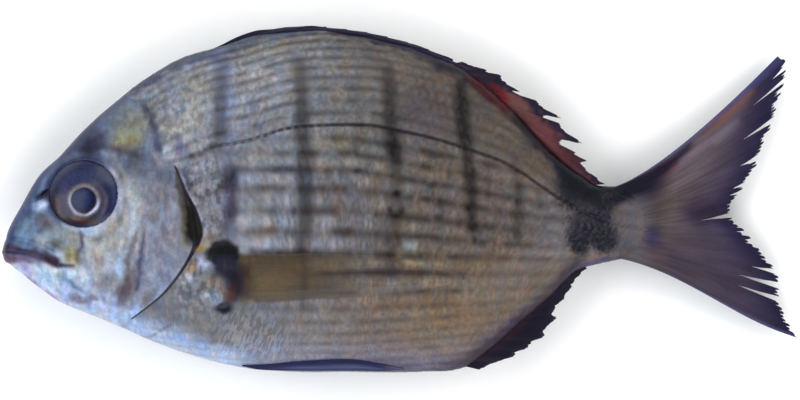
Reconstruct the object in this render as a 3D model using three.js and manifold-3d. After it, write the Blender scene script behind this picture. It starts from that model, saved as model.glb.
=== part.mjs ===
// A whole raw sea bream, uncut, lying on its right flank with its left flank up.
// +X runs from the snout to the tail, +Y from the belly to the back and +Z straight up. The origin lies on
// the surface that carries the fish, below the middle of its outline. Every length is in millimetres.
//
// The body is one solid of flesh, skin and head. The fins are thin blades that grow out of it, and each
// eyeball sits in a socket. A piece keeps CLEARANCE to the body that it grows from.
import * as THREE from "three";
import { mergeVertices } from "three/addons/utils/BufferGeometryUtils.js";
import Module from "manifold-3d";

const wasm = await Module();
wasm.setup();

// ---------------------------------------------------------------- driving dimensions
const TOTAL_LENGTH = 250; // snout to the tips of the tail
const BODY_LENGTH = 0.82 * TOTAL_LENGTH; // snout to the end of the scaled tail stalk
const BODY_DEPTH = 0.433 * TOTAL_LENGTH; // belly to back at the deepest place, without fins
const BODY_THICKNESS = 0.33 * BODY_DEPTH; // flank to flank at the thickest place
const PRESSED = 2.2; // how far the lower flank gives where the fish rests on it
const PRESS_BLEND = 0.8; // half the height over which the pressed spot runs into the round flank
const TAIL_DROOP = 11; // how far the tips of the tail hang below the middle of the body
const DROOP_START_X = 5; // where the body begins to hang
const CLEARANCE = 0.3;
const WELD = 1e-4; // points closer than this are one point

const SNOUT_X = -TOTAL_LENGTH / 2;
const TAIL_X = TOTAL_LENGTH / 2;

// ---------------------------------------------------------------- small helpers
const lerp = THREE.MathUtils.lerp;
const clamp = THREE.MathUtils.clamp;
const range = (count) => Array.from({ length: count }, (_, i) => i);

// A smooth curve through [place, value] pairs that never swings past them.
function smoothCurve(pairs) {
  const place = pairs.map((pair) => pair[0]);
  const value = pairs.map((pair) => pair[1]);
  const last = pairs.length - 1;
  const rise = range(last).map((i) => (value[i + 1] - value[i]) / (place[i + 1] - place[i]));
  const slope = range(last + 1).map((i) => {
    if (i === 0) return rise[0];
    if (i === last) return rise[last - 1];
    return rise[i - 1] * rise[i] <= 0 ? 0 : (2 * rise[i - 1] * rise[i]) / (rise[i - 1] + rise[i]);
  });
  return (at) => {
    const x = clamp(at, place[0], place[last]);
    let i = 0;
    while (i < last - 1 && x > place[i + 1]) i += 1;
    const span = place[i + 1] - place[i];
    const t = (x - place[i]) / span;
    const back = 1 - t;
    return (
      value[i] * (1 + 2 * t) * back * back +
      slope[i] * span * t * back * back +
      value[i + 1] * t * t * (3 - 2 * t) -
      slope[i + 1] * span * t * t * back
    );
  };
}

// A closed geometry as a Manifold solid, turned the right way out.
function solidOf(geometry) {
  const bare = geometry.clone();
  bare.deleteAttribute("normal");
  bare.deleteAttribute("uv");
  const merged = mergeVertices(bare, WELD);
  const vertProperties = merged.attributes.position.array;
  const corners = new Uint32Array(merged.index.array);
  const solid = new wasm.Manifold(new wasm.Mesh({ numProp: 3, vertProperties, triVerts: corners }));
  if (solid.volume() > 0) return solid;
  const triVerts = new Uint32Array(corners).reverse();
  return new wasm.Manifold(new wasm.Mesh({ numProp: 3, vertProperties, triVerts }));
}

function solidFrom(points, triangles) {
  const geometry = new THREE.BufferGeometry().setFromPoints(points);
  geometry.setIndex(triangles.flat());
  return solidOf(geometry);
}

function geometryFrom(solid) {
  const mesh = solid.getMesh();
  const geometry = new THREE.BufferGeometry();
  geometry.setAttribute("position", new THREE.BufferAttribute(mesh.vertProperties, 3));
  geometry.setIndex(new THREE.BufferAttribute(mesh.triVerts, 1));
  geometry.computeVertexNormals();
  return geometry;
}

// The largest piece of a solid: a cut can leave loose scraps beside it.
function largestPiece(solid) {
  return solid.decompose().reduce((best, piece) => (piece.volume() > best.volume() ? piece : best));
}

// A closed slab between two sheets of points. faceAt(q, r) gives the points [outer, inner] at column q
// and at the share r of the way from the root to the margin.
function slab(columns, rows, faceAt) {
  const shares = range(rows + 1).map((r) => r / rows);
  const faces = columns.map((q) => shares.map((r) => faceAt(q, r)));
  const points = faces.flat(2);
  const index = (c, r, layer) => (c * (rows + 1) + r) * 2 + layer;
  const triangles = [];
  const quad = (a, b, c, d) => triangles.push([a, b, c], [a, c, d]);
  for (const c of range(columns.length - 1)) {
    for (const r of range(rows)) {
      quad(index(c, r, 0), index(c + 1, r, 0), index(c + 1, r + 1, 0), index(c, r + 1, 0));
      quad(index(c, r + 1, 1), index(c + 1, r + 1, 1), index(c + 1, r, 1), index(c, r, 1));
    }
    quad(index(c, 0, 1), index(c + 1, 0, 1), index(c + 1, 0, 0), index(c, 0, 0));
    quad(index(c, rows, 0), index(c + 1, rows, 0), index(c + 1, rows, 1), index(c, rows, 1));
  }
  const lastColumn = columns.length - 1;
  for (const r of range(rows)) {
    quad(index(0, r, 0), index(0, r + 1, 0), index(0, r + 1, 1), index(0, r, 1));
    quad(
      index(lastColumn, r, 1),
      index(lastColumn, r + 1, 1),
      index(lastColumn, r + 1, 0),
      index(lastColumn, r, 0),
    );
  }
  return solidFrom(points, triangles);
}

// ---------------------------------------------------------------- the body's form
// Along the body: share of its length from the snout, height of the back and of the belly as shares of
// its depth, and thickness as a share of the greatest thickness.
const STATIONS = [
  [0.0, -0.151, -0.151, 0.0],
  [0.005, -0.116, -0.178, 0.15],
  [0.012, -0.078, -0.19, 0.23],
  [0.0276, -0.023, -0.209, 0.34],
  [0.058, 0.072, -0.255, 0.48],
  [0.089, 0.13, -0.296, 0.6],
  [0.135, 0.22, -0.33, 0.73],
  [0.181, 0.296, -0.368, 0.83],
  [0.227, 0.362, -0.406, 0.91],
  [0.2726, 0.409, -0.438, 0.965],
  [0.334, 0.446, -0.472, 1.0],
  [0.395, 0.481, -0.493, 1.0],
  [0.4717, 0.493, -0.4985, 0.98],
  [0.5482, 0.478, -0.4985, 0.93],
  [0.6095, 0.452, -0.4985, 0.86],
  [0.6707, 0.412, -0.497, 0.78],
  [0.709, 0.377, -0.484, 0.72],
  [0.7473, 0.322, -0.435, 0.65],
  [0.793, 0.241, -0.362, 0.56],
  [0.839, 0.148, -0.281, 0.46],
  [0.885, 0.075, -0.2, 0.36],
  [0.9157, 0.041, -0.185, 0.3],
  [0.9463, 0.039, -0.172, 0.24],
  [0.975, 0.02, -0.152, 0.17],
  [1.0, -0.03, -0.1, 0.09],
];
const backShare = smoothCurve(STATIONS.map((row) => [row[0], row[1]]));
const bellyShare = smoothCurve(STATIONS.map((row) => [row[0], row[2]]));
const thicknessShare = smoothCurve(STATIONS.map((row) => [row[0], row[3]]));

// How a cross-section rounds off towards the back, which is sharper, and towards the belly.
const BACK_ROUNDING = 1.22;
const BELLY_ROUNDING = 1.08;

// The rear edge of the gill cover, from the throat up to its upper corner: [height, place along the body].
const GILL_EDGE = [
  [-37.3, -84.5],
  [-28.9, -73.9],
  [-18.2, -66],
  [-10.2, -62],
  [-4, -63.6],
  [3.1, -67.3],
  [10.5, -70.5],
];
const gillEdgeX = smoothCurve(GILL_EDGE);
const GILL_LOW_Y = GILL_EDGE[0][0];
const GILL_HIGH_Y = GILL_EDGE.at(-1)[0];

// The gill cover stands out of the flank at that edge, and runs out smoothly towards the cheek.
const GILL_COVER = { step: 1.2, edgeReach: 2.5, cheekReach: 34 };

const backY = (x) => backShare((x - SNOUT_X) / BODY_LENGTH) * BODY_DEPTH;
const bellyY = (x) => bellyShare((x - SNOUT_X) / BODY_LENGTH) * BODY_DEPTH;
const halfThickness = (x) => (thicknessShare((x - SNOUT_X) / BODY_LENGTH) * BODY_THICKNESS) / 2;

// Height of the fish's own middle plane, which hangs towards the tail.
function middleZ(x) {
  const hang = clamp((x - DROOP_START_X) / (TAIL_X - DROOP_START_X), 0, 1);
  return BODY_THICKNESS / 2 - PRESSED - TAIL_DROOP * hang * hang;
}

// The angle round the section at which the flank has the height y: -90 degrees at the belly, 90 at the back.
function angleAt(x, y) {
  const top = backY(x);
  const bottom = bellyY(x);
  return Math.asin(clamp((2 * y - top - bottom) / (top - bottom), -1, 1));
}

function gillCoverBulge(x, y) {
  const ahead = gillEdgeX(y) - x;
  const upward = clamp((y - GILL_LOW_Y) / (GILL_HIGH_Y - GILL_LOW_Y), 0, 1);
  const atEdge = THREE.MathUtils.smoothstep(ahead, 0, GILL_COVER.edgeReach);
  const atCheek = 1 - THREE.MathUtils.smoothstep(ahead, 0, GILL_COVER.cheekReach);
  return GILL_COVER.step * atEdge * atCheek * Math.sin(Math.PI * upward);
}

// A point on the flank as the fish would have it in water. side is 1 on the left and -1 on the right.
function flankPoint(x, angle, side) {
  const top = backY(x);
  const bottom = bellyY(x);
  const y = (top + bottom) / 2 + ((top - bottom) / 2) * Math.sin(angle);
  const flatness = Math.max(Math.cos(angle), 0);
  const shape = flatness ** (angle > 0 ? BACK_ROUNDING : BELLY_ROUNDING);
  const out = halfThickness(x) * shape + gillCoverBulge(x, y) * flatness;
  return new THREE.Vector3(x, y, middleZ(x) + side * out);
}

// The surface that carries the fish presses its lower flank flat.
function pressedHeight(z) {
  if (z >= PRESS_BLEND) return z;
  if (z <= -PRESS_BLEND) return 0;
  return (z + PRESS_BLEND) ** 2 / (4 * PRESS_BLEND);
}

function skinPoint(x, angle, side) {
  const point = flankPoint(x, angle, side);
  point.z = pressedHeight(point.z);
  return point;
}

const NORMAL_STEP = 0.4;
const NORMAL_TURN = 0.02;
const STEEPEST_ANGLE = Math.PI / 2 - 2 * NORMAL_TURN;

function skinNormal(x, angle, side) {
  const turn = clamp(angle, -STEEPEST_ANGLE, STEEPEST_ANGLE);
  const along = flankPoint(x + NORMAL_STEP, turn, side).sub(flankPoint(x - NORMAL_STEP, turn, side));
  const across = flankPoint(x, turn + NORMAL_TURN, side).sub(flankPoint(x, turn - NORMAL_TURN, side));
  return along.cross(across).normalize().multiplyScalar(side);
}

// ---------------------------------------------------------------- the body's solid
const BODY_RINGS = 58;
const FLANK_STEPS = 17; // from the belly to the back on each side
const SNOUT_CROWDING = 1.3; // over 1, rings lie closer together at the head

// The whole body, larger by the margin on every side.
function bodySolid(margin) {
  const ringPoint = (x, j) => {
    const side = j <= FLANK_STEPS ? 1 : -1;
    const step = j <= FLANK_STEPS ? j : 2 * FLANK_STEPS - j;
    const angle = -Math.PI / 2 + (Math.PI * step) / FLANK_STEPS;
    const point = skinPoint(x, angle, side);
    return margin ? point.addScaledVector(skinNormal(x, angle, side), margin) : point;
  };
  const around = 2 * FLANK_STEPS;
  const tip = new THREE.Vector3(SNOUT_X - margin, STATIONS[0][1] * BODY_DEPTH, middleZ(SNOUT_X));
  const endX = SNOUT_X + BODY_LENGTH;
  const end = new THREE.Vector3(endX + margin, (backY(endX) + bellyY(endX)) / 2, middleZ(endX));
  const points = [tip, end];
  const triangles = [];
  const index = (i, j) => 2 + (i - 1) * around + (j % around);
  for (const i of range(BODY_RINGS).map((n) => n + 1)) {
    const x = SNOUT_X + BODY_LENGTH * (i / BODY_RINGS) ** SNOUT_CROWDING;
    for (const j of range(around)) points.push(ringPoint(x, j));
  }
  for (const j of range(around)) {
    triangles.push([0, index(1, j + 1), index(1, j)]);
    triangles.push([1, index(BODY_RINGS, j), index(BODY_RINGS, j + 1)]);
    for (const i of range(BODY_RINGS - 1).map((n) => n + 1)) {
      triangles.push([index(i, j), index(i, j + 1), index(i + 1, j + 1)]);
      triangles.push([index(i, j), index(i + 1, j + 1), index(i + 1, j)]);
    }
  }
  return solidFrom(points, triangles);
}

// A slab that follows the flank. outlineAt(q, r) gives its [x, y], and offsets the heights of its outer and
// inner face over the skin, where below zero is inside the body.
function flankSlab(side, columns, rows, outlineAt, offsetsAt) {
  return slab(columns, rows, (q, r) => {
    const [x, y] = outlineAt(q, r);
    const angle = angleAt(x, y);
    const normal = skinNormal(x, angle, side);
    return offsetsAt(q, r).map((height) => skinPoint(x, angle, side).addScaledVector(normal, height));
  });
}

// ---------------------------------------------------------------- head: mouth, gill slits and eyes
// The closed mouth: a narrow gap between the jaws, from the snout back to the corner of the mouth.
const GAPE = new THREE.SplineCurve(
  [
    [-127, -16.4],
    [-119.4, -16.3],
    [-114.6, -17.6],
    [-110.6, -19.4],
    [-106.2, -22],
  ].map(([x, y]) => new THREE.Vector2(x, y)),
);
const GAPE_WIDTH = 0.8;
const GAPE_STEPS = 10;

function mouthCutter() {
  const line = GAPE.getPoints(GAPE_STEPS);
  const edge = (sign) =>
    line.map((p, i) => {
      const half = (GAPE_WIDTH / 2) * (1 - (0.6 * i) / GAPE_STEPS);
      return new THREE.Vector2(p.x, p.y + sign * half);
    });
  const outline = new THREE.Shape([...edge(-1), ...edge(1).reverse()]);
  const cutter = new THREE.ExtrudeGeometry(outline, {
    depth: 2 * BODY_THICKNESS,
    bevelEnabled: false,
  });
  cutter.translate(0, 0, -BODY_THICKNESS);
  return solidOf(cutter);
}

// The slit behind the gill cover is a crescent, widest in the middle of the cover's rear edge.
const GILL_SLIT = { width: 2.3, endWidth: 0.25, depth: 3, reachOut: 1.8, steps: 14 };

function gillCutter(side) {
  const columns = range(GILL_SLIT.steps + 1).map((i) => i / GILL_SLIT.steps);
  const outlineAt = (q, r) => {
    const y = lerp(GILL_LOW_Y, GILL_HIGH_Y, q);
    const width = GILL_SLIT.endWidth + GILL_SLIT.width * Math.sin(Math.PI * q) ** 1.5;
    return [gillEdgeX(y) + width * r, y];
  };
  return flankSlab(side, columns, 1, outlineAt, () => [GILL_SLIT.reachOut, -GILL_SLIT.depth]);
}

// Each eyeball is a flattened ball that looks straight out of the head.
const EYE = { x: -99.3, y: 1.6, radius: 10.4, halfDepth: 6, bulge: 1.7, around: 22, rings: 10 };

function eyeSolid(side, margin) {
  const angle = angleAt(EYE.x, EYE.y);
  const outwards = skinNormal(EYE.x, angle, side);
  const ball = new THREE.SphereGeometry(1, EYE.around, EYE.rings);
  ball.rotateX(Math.PI / 2);
  ball.scale(EYE.radius + margin, EYE.radius + margin, EYE.halfDepth + margin);
  ball.applyQuaternion(new THREE.Quaternion().setFromUnitVectors(new THREE.Vector3(0, 0, 1), outwards));
  const centre = flankPoint(EYE.x, angle, side);
  centre.addScaledVector(outwards, EYE.bulge - EYE.halfDepth);
  ball.translate(centre.x, centre.y, centre.z);
  return solidOf(ball);
}

// ---------------------------------------------------------------- paired fins
// The pectoral fin lies back along the flank: [share of its length, upper edge, lower edge].
const PECTORAL = { rootX: -54.8, tipX: 20, thickness: 0.8, rays: 9, ridge: 0.25, rows: 10 };
const PECTORAL_EDGES = [
  [0, -15.2, -32.2],
  [0.06, -16.9, -33.2],
  [0.2, -16.9, -32.8],
  [0.35, -16.7, -31],
  [0.6, -17.2, -29.9],
  [0.78, -18.6, -28.6],
  [0.92, -21.3, -26.8],
  [1, -23.6, -25],
];
const PECTORAL_BASE = { thickness: 2.2, reach: 0.07 }; // the fleshy root, and how soon it thins out
const pectoralTop = smoothCurve(PECTORAL_EDGES.map((row) => [row[0], row[1]]));
const pectoralBottom = smoothCurve(PECTORAL_EDGES.map((row) => [row[0], row[2]]));

function pectoralFin(side, margin) {
  const columns = range(2 * PECTORAL.rays - 1).map((i) => i / (2 * PECTORAL.rays - 2));
  const outlineAt = (q, r) => {
    const grow = margin * (1 - 2 * q);
    const x = lerp(PECTORAL.rootX - margin, PECTORAL.tipX + margin, r);
    return [x, lerp(pectoralTop(r), pectoralBottom(r), q) + grow];
  };
  const thicknessAt = (q, r) => {
    const onRay = Math.cos(2 * Math.PI * q * (PECTORAL.rays - 1));
    const root = PECTORAL_BASE.thickness * Math.exp(-((r / PECTORAL_BASE.reach) ** 2));
    return PECTORAL.thickness + PECTORAL.ridge * onRay * (1 - r) + root;
  };
  return slab(columns, PECTORAL.rows, (q, r) => {
    const [x, y] = outlineAt(q, r);
    const angle = angleAt(x, y);
    const normal = skinNormal(x, angle, side);
    const thickness = thicknessAt(q, r);
    const outer = skinPoint(x, angle, side).addScaledVector(normal, CLEARANCE + thickness);
    if (side < 0) outer.z = Math.max(outer.z, 0); // the fin under the fish is pressed into the flank
    const inner = outer.clone().addScaledVector(normal, -thickness - margin);
    return [outer.addScaledVector(normal, margin), inner];
  });
}

// The pelvic fins lie folded beside the belly's edge, keel degrees away from it: [share of their length,
// width as degrees round the section].
const PELVIC = { rootX: -49.5, tipX: 1.5, thickness: 0.9, rows: 16, keel: 12 };
const PELVIC_TURNS = [
  [0, 2],
  [0.12, 5],
  [0.35, 9],
  [0.65, 11],
  [0.85, 8],
  [1, 3],
];
const pelvicTurn = smoothCurve(PELVIC_TURNS);

function pelvicFin(side) {
  const columns = range(5).map((i) => i / 4);
  return slab(columns, PELVIC.rows, (q, r) => {
    const x = lerp(PELVIC.rootX, PELVIC.tipX, r);
    const degrees = -90 + PELVIC.keel + pelvicTurn(r) * q;
    const angle = THREE.MathUtils.degToRad(degrees);
    const normal = skinNormal(x, angle, side);
    const heights = [CLEARANCE + PELVIC.thickness, CLEARANCE];
    return heights.map((height) => skinPoint(x, angle, side).addScaledVector(normal, height));
  });
}

// ---------------------------------------------------------------- fins in the middle plane
// A blade in the fish's middle plane. pointAt(q, r) gives [x, y], and halfAt(q, r) half its thickness.
function blade(columns, rows, pointAt, halfAt) {
  return slab(columns, rows, (q, r) => {
    const [x, y] = pointAt(q, r);
    const z = middleZ(x);
    const half = halfAt(q, r);
    return [new THREE.Vector3(x, y, z + half), new THREE.Vector3(x, y, z - half)];
  });
}

// The folded dorsal and anal fins: each row is a ray, by the x where it leaves the body and its tip. Rays
// whose tips lie far apart are split by a tear in the skin between them.
const DORSAL_RAYS = [
  [12.4, 19.8, 43.4],
  [16.5, 26, 41.3],
  [20.2, 31.6, 39.2],
  [21.6, 37.6, 34],
  [22.6, 36.4, 33.4],
  [23.4, 42.8, 31.2],
  [24.9, 51.4, 25.3],
  [27.4, 44.4, 25.8],
  [30, 50.2, 24],
  [34, 57.7, 17.5],
  [37, 49.6, 18],
  [40.5, 54.8, 15],
  [45, 58.6, 12.3],
  [48, 57.4, 10.6],
  [52, 62.2, 6.8],
  [58, 64.3, 5],
];
const ANAL_RAYS = [
  [15.5, 25, -53.3],
  [22.7, 35.4, -49.3],
  [27, 40.4, -46.3],
  [31, 45, -43],
  [35, 49.3, -37],
  [38, 48.4, -34.6],
  [41, 51.6, -31],
  [45.6, 54, -27.3],
  [50, 54.4, -26],
  [52, 56.4, -23.6],
  [56.5, 58.6, -21.6],
];
const SPINE_COUNT = 11;
const SPINES = { firstX: -58, lastX: 6, length: 22, radius: 1.15, rise: 1.1, sides: 5, aside: 0.7 };
const RIDGE_STEPS = 18;
const ROOT_DEPTH = 2.5; // how far a blade reaches into the body before it is cut to the skin

function foldedFin(rays, edgeY, inward, halfRoot, halfTip) {
  const columns = range(rays.length);
  const pointAt = (q, r) => {
    const [rootX, tipX, tipY] = rays[q];
    return [lerp(rootX, tipX, r), lerp(edgeY(rootX) + inward * ROOT_DEPTH, tipY, r)];
  };
  return blade(columns, 5, pointAt, (q, r) => lerp(halfRoot, halfTip, r));
}

// The spiny front of the dorsal fin is folded into the back: a low ridge of skin, with stout spines that
// lie back one behind the other, to the left and the right of it in turn.
function spinyRidge() {
  const columns = range(RIDGE_STEPS + 1).map((i) => i / RIDGE_STEPS);
  const pointAt = (q, r) => {
    const x = lerp(SPINES.firstX, DORSAL_RAYS[1][0], q);
    const ends = Math.sin(Math.PI * clamp(q * 4, 0, 0.5));
    return [x, backY(x) + lerp(-ROOT_DEPTH, SPINES.rise * ends, r)];
  };
  return blade(columns, 2, pointAt, (q, r) => lerp(1.3, 0.6, r));
}

function spine(number) {
  const rootX = lerp(SPINES.firstX, SPINES.lastX, number / (SPINE_COUNT - 1));
  const tipX = rootX + SPINES.length;
  const aside = number % 2 ? SPINES.aside : -SPINES.aside;
  const root = new THREE.Vector3(rootX, backY(rootX) - 0.6, middleZ(rootX) + aside);
  const tip = new THREE.Vector3(tipX, backY(tipX) + SPINES.rise, middleZ(tipX) + aside / 2);
  const direction = tip.clone().sub(root);
  const cone = new THREE.CylinderGeometry(0.2, SPINES.radius, direction.length(), SPINES.sides);
  const turn = new THREE.Quaternion();
  turn.setFromUnitVectors(new THREE.Vector3(0, 1, 0), direction.clone().normalize());
  cone.applyQuaternion(turn);
  const centre = root.clone().add(tip).multiplyScalar(0.5);
  cone.translate(centre.x, centre.y, centre.z);
  return solidOf(cone);
}

function dorsalFin() {
  const soft = foldedFin(DORSAL_RAYS, backY, -1, 1.1, 0.45);
  const spines = range(SPINE_COUNT).map(spine);
  return [spinyRidge(), ...spines].reduce((whole, piece) => whole.add(piece), soft);
}

// The tail fin fans out from the end of the body. Its edges are Bezier curves from root to tip.
const TAIL = {
  upper: { root: [62, 3.2], bend: [77, 3.2], tip: [118.6, 45.2] },
  lower: { root: [64, -17.8], bend: [82, -18.8], tip: [124.9, -43.4] },
  lowerSag: 2.2,
  rays: 17,
  rows: 7,
  rootHalf: 1.5,
  tipHalf: 0.35,
  ridge: 0.3,
};
// The margin without its tears, as the x at each height y, from the lower tip to the upper one.
const TAIL_MARGIN = smoothCurve([
  [-43.4, 124.9],
  [-40, 123],
  [-34, 120.6],
  [-25, 119.6],
  [-18, 114.8],
  [-10, 108.6],
  [-5, 104.2],
  [-2, 104.4],
  [2, 106.6],
  [10, 111.6],
  [26, 117.4],
  [36, 120.6],
  [41, 121.9],
  [44, 121],
  [45.2, 118.6],
]);
// The tears between rays: height on the margin, depth and half width.
const TAIL_TEARS = [
  [42.2, 2.5, 0.7],
  [38.2, 8, 1],
  [25.3, 7.5, 1],
  [14, 3.2, 1.2],
  [5.2, 2.6, 0.9],
  [2.6, 2.2, 0.7],
  [-4.7, 7.6, 0.8],
  [-22.6, 4.5, 0.9],
  [-27.2, 10.5, 1],
  [-31.6, 10, 0.9],
];

function tailTearDepth(y) {
  return TAIL_TEARS.reduce(
    (depth, [at, deep, half]) => Math.max(depth, deep * (1 - Math.abs(y - at) / half)),
    0,
  );
}

// The tail's columns, as heights on the margin: every ray, every hollow between two rays and every tear.
function tailColumns() {
  const top = TAIL.upper.tip[1];
  const bottom = TAIL.lower.tip[1];
  const steps = 2 * (TAIL.rays - 1);
  const rays = range(steps + 1).map((i) => ({ y: lerp(top, bottom, i / steps), tear: false }));
  const tears = TAIL_TEARS.flatMap(([at, , half]) =>
    [at + half, at, at - half].map((y) => ({ y, tear: true })),
  );
  const clear = rays.filter((ray, i) => {
    const outer = i === 0 || i === steps;
    return outer || tears.every((tear) => Math.abs(tear.y - ray.y) > 0.45);
  });
  return [...clear, ...tears].map((column) => column.y).sort((a, b) => b - a);
}

function tailFin() {
  const top = TAIL.upper.tip[1];
  const bottom = TAIL.lower.tip[1];
  const between = (part, axis, q) => lerp(TAIL.upper[part][axis], TAIL.lower[part][axis], q);
  const pointAt = (y, r) => {
    const q = (top - y) / (top - bottom);
    const root = [between("root", 0, q), between("root", 1, q)];
    const bend = [between("bend", 0, q), between("bend", 1, q)];
    const tip = [TAIL_MARGIN(y), y];
    const length = Math.hypot(tip[0] - root[0], tip[1] - root[1]);
    const t = r * (1 - tailTearDepth(y) / length);
    const alongRay = (axis) => {
      const first = lerp(root[axis], bend[axis], t);
      return lerp(first, lerp(bend[axis], tip[axis], t), t);
    };
    const sag = TAIL.lowerSag * q ** 8 * Math.sin(Math.PI * t ** 3);
    return [alongRay(0), alongRay(1) - sag];
  };
  const halfAt = (y, r) => {
    const q = (top - y) / (top - bottom);
    const onRay = Math.cos(2 * Math.PI * q * (TAIL.rays - 1));
    return lerp(TAIL.rootHalf, TAIL.tipHalf, r ** 0.6) + TAIL.ridge * onRay * (1 - r);
  };
  return blade(tailColumns(), TAIL.rows, pointAt, halfAt);
}

// ---------------------------------------------------------------- the whole fish
const MATERIALS = {
  skin: new THREE.MeshStandardMaterial({ color: 0x84837f, roughness: 0.35, metalness: 0.15 }),
  fin: new THREE.MeshStandardMaterial({ color: 0x4b4449, roughness: 0.5, metalness: 0 }),
  pectoral: new THREE.MeshStandardMaterial({ color: 0x6a5a45, roughness: 0.45, metalness: 0 }),
  eye: new THREE.MeshStandardMaterial({ color: 0x333b5f, roughness: 0.1, metalness: 0 }),
};

const SIDES = { left: 1, right: -1 };
const sides = Object.entries(SIDES);

function bodyWithOpenings() {
  const cutters = [
    mouthCutter(),
    ...sides.map(([, side]) => gillCutter(side)),
    ...sides.map(([, side]) => eyeSolid(side, CLEARANCE)),
    pectoralFin(SIDES.right, CLEARANCE),
  ];
  return largestPiece(cutters.reduce((body, cutter) => body.subtract(cutter), bodySolid(0)));
}

const grownBody = bodySolid(CLEARANCE);
const cutToSkin = (fin) => largestPiece(fin.subtract(grownBody));

const fish = new THREE.Group();

function addPiece(name, solid, material) {
  const mesh = new THREE.Mesh(geometryFrom(solid), material);
  mesh.name = name;
  fish.add(mesh);
}

addPiece("body", bodyWithOpenings(), MATERIALS.skin);
addPiece("dorsal_fin", cutToSkin(dorsalFin()), MATERIALS.fin);
addPiece("anal_fin", cutToSkin(foldedFin(ANAL_RAYS, bellyY, 1, 1.4, 0.6)), MATERIALS.fin);
addPiece("tail_fin", cutToSkin(tailFin()), MATERIALS.fin);
for (const [name, side] of sides) {
  addPiece(`eye_${name}`, eyeSolid(side, 0), MATERIALS.eye);
  addPiece(`pectoral_fin_${name}`, pectoralFin(side, 0), MATERIALS.pectoral);
  addPiece(`pelvic_fin_${name}`, pelvicFin(side), MATERIALS.fin);
}

// The origin lies below the middle of the outline.
const extent = new THREE.Box3().setFromObject(fish);
const middle = extent.getCenter(new THREE.Vector3());
fish.position.set(-middle.x, -middle.y, -extent.min.z);

export default fish;
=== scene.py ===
import math

import bpy
import numpy as np
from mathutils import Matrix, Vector


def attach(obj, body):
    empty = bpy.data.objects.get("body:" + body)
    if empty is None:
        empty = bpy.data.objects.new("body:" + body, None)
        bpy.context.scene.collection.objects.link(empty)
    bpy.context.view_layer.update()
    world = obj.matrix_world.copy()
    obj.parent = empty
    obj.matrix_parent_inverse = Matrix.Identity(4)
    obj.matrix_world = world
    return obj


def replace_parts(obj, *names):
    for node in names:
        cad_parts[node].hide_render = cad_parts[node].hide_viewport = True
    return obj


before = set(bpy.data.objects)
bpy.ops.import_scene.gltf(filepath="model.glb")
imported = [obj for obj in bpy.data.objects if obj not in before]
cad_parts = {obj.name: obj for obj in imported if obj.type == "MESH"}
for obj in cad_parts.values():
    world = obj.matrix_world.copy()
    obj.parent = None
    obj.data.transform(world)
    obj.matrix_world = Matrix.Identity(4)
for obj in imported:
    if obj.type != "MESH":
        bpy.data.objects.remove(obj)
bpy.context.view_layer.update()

# The fish is made in millimetres in its own frame: +X from the snout to the tail, +Y from the belly to the
# back, +Z up out of the left flank. PLACE moves it to the CAD model's frame, which has its origin below
# the middle of the outline.
MM = 0.001
PLACE = np.array([-0.005, -0.34, 0.0])

# ---------------------------------------------------------------- the body's form, as in the CAD model
TOTAL_LENGTH = 250.0
BODY_LENGTH = 0.82 * TOTAL_LENGTH
BODY_DEPTH = 0.433 * TOTAL_LENGTH
BODY_THICKNESS = 0.33 * BODY_DEPTH
PRESSED = 2.2
PRESS_BLEND = 0.8
TAIL_PINCH, TAIL_PINCH_START, TAIL_PINCH_END = 0.65, 66.0, 79.0
TAIL_DROOP = 11.0
DROOP_START_X = 5.0
SNOUT_X = -TOTAL_LENGTH / 2
TAIL_X = TOTAL_LENGTH / 2
STATIONS = [  # share of the length; back and belly by the depth, thickness by the thickness
    (0, -0.151, -0.151, 0), (0.005, -0.116, -0.178, 0.15), (0.012, -0.078, -0.19, 0.23),
    (0.0276, -0.023, -0.209, 0.34), (0.058, 0.072, -0.255, 0.48), (0.089, 0.13, -0.296, 0.6),
    (0.135, 0.22, -0.33, 0.73), (0.181, 0.296, -0.368, 0.83), (0.227, 0.362, -0.406, 0.91),
    (0.2726, 0.409, -0.438, 0.965), (0.334, 0.446, -0.472, 1), (0.395, 0.481, -0.493, 1),
    (0.4717, 0.493, -0.4985, 0.98), (0.5482, 0.478, -0.4985, 0.93), (0.6095, 0.452, -0.4985, 0.86),
    (0.6707, 0.412, -0.497, 0.78), (0.709, 0.377, -0.484, 0.72), (0.7473, 0.322, -0.435, 0.65),
    (0.793, 0.241, -0.362, 0.56), (0.839, 0.148, -0.281, 0.46), (0.885, 0.075, -0.2, 0.36),
    (0.9157, 0.041, -0.185, 0.3), (0.9463, 0.039, -0.172, 0.24), (0.975, 0.02, -0.152, 0.17),
    (1, -0.03, -0.1, 0.09),
]
BACK_ROUNDING = 1.22
BELLY_ROUNDING = 1.08
GILL_EDGE = [  # height, and where the gill cover ends there
    (-37.3, -84.5), (-28.9, -73.9), (-18.2, -66), (-10.2, -62), (-4, -63.6), (3.1, -67.3), (10.5, -70.5),
]
GILL_LOW, GILL_HIGH = GILL_EDGE[0][0], GILL_EDGE[-1][0]


def smooth_curve(pairs):
    """A smooth curve through (place, value) pairs that never swings past them."""
    place, value = np.array(pairs, float).T
    span = np.diff(place)
    rise = np.diff(value) / span
    same = rise[:-1] * rise[1:] > 0
    slope = np.empty_like(value)
    slope[0] = rise[0]
    slope[-1] = rise[-1]
    slope[1:-1] = np.where(same, 2 * rise[:-1] * rise[1:] / np.where(same, rise[:-1] + rise[1:], 1), 0)

    def curve(at):
        x = np.clip(at, place[0], place[-1])
        i = np.clip(np.searchsorted(place, x, side="right") - 1, 0, len(span) - 1)
        t = (x - place[i]) / span[i]
        back = 1 - t
        return (value[i] * (1 + 2 * t) * back**2 + slope[i] * span[i] * t * back**2
                + value[i + 1] * t**2 * (3 - 2 * t) - slope[i + 1] * span[i] * t**2 * back)

    return curve


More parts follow.
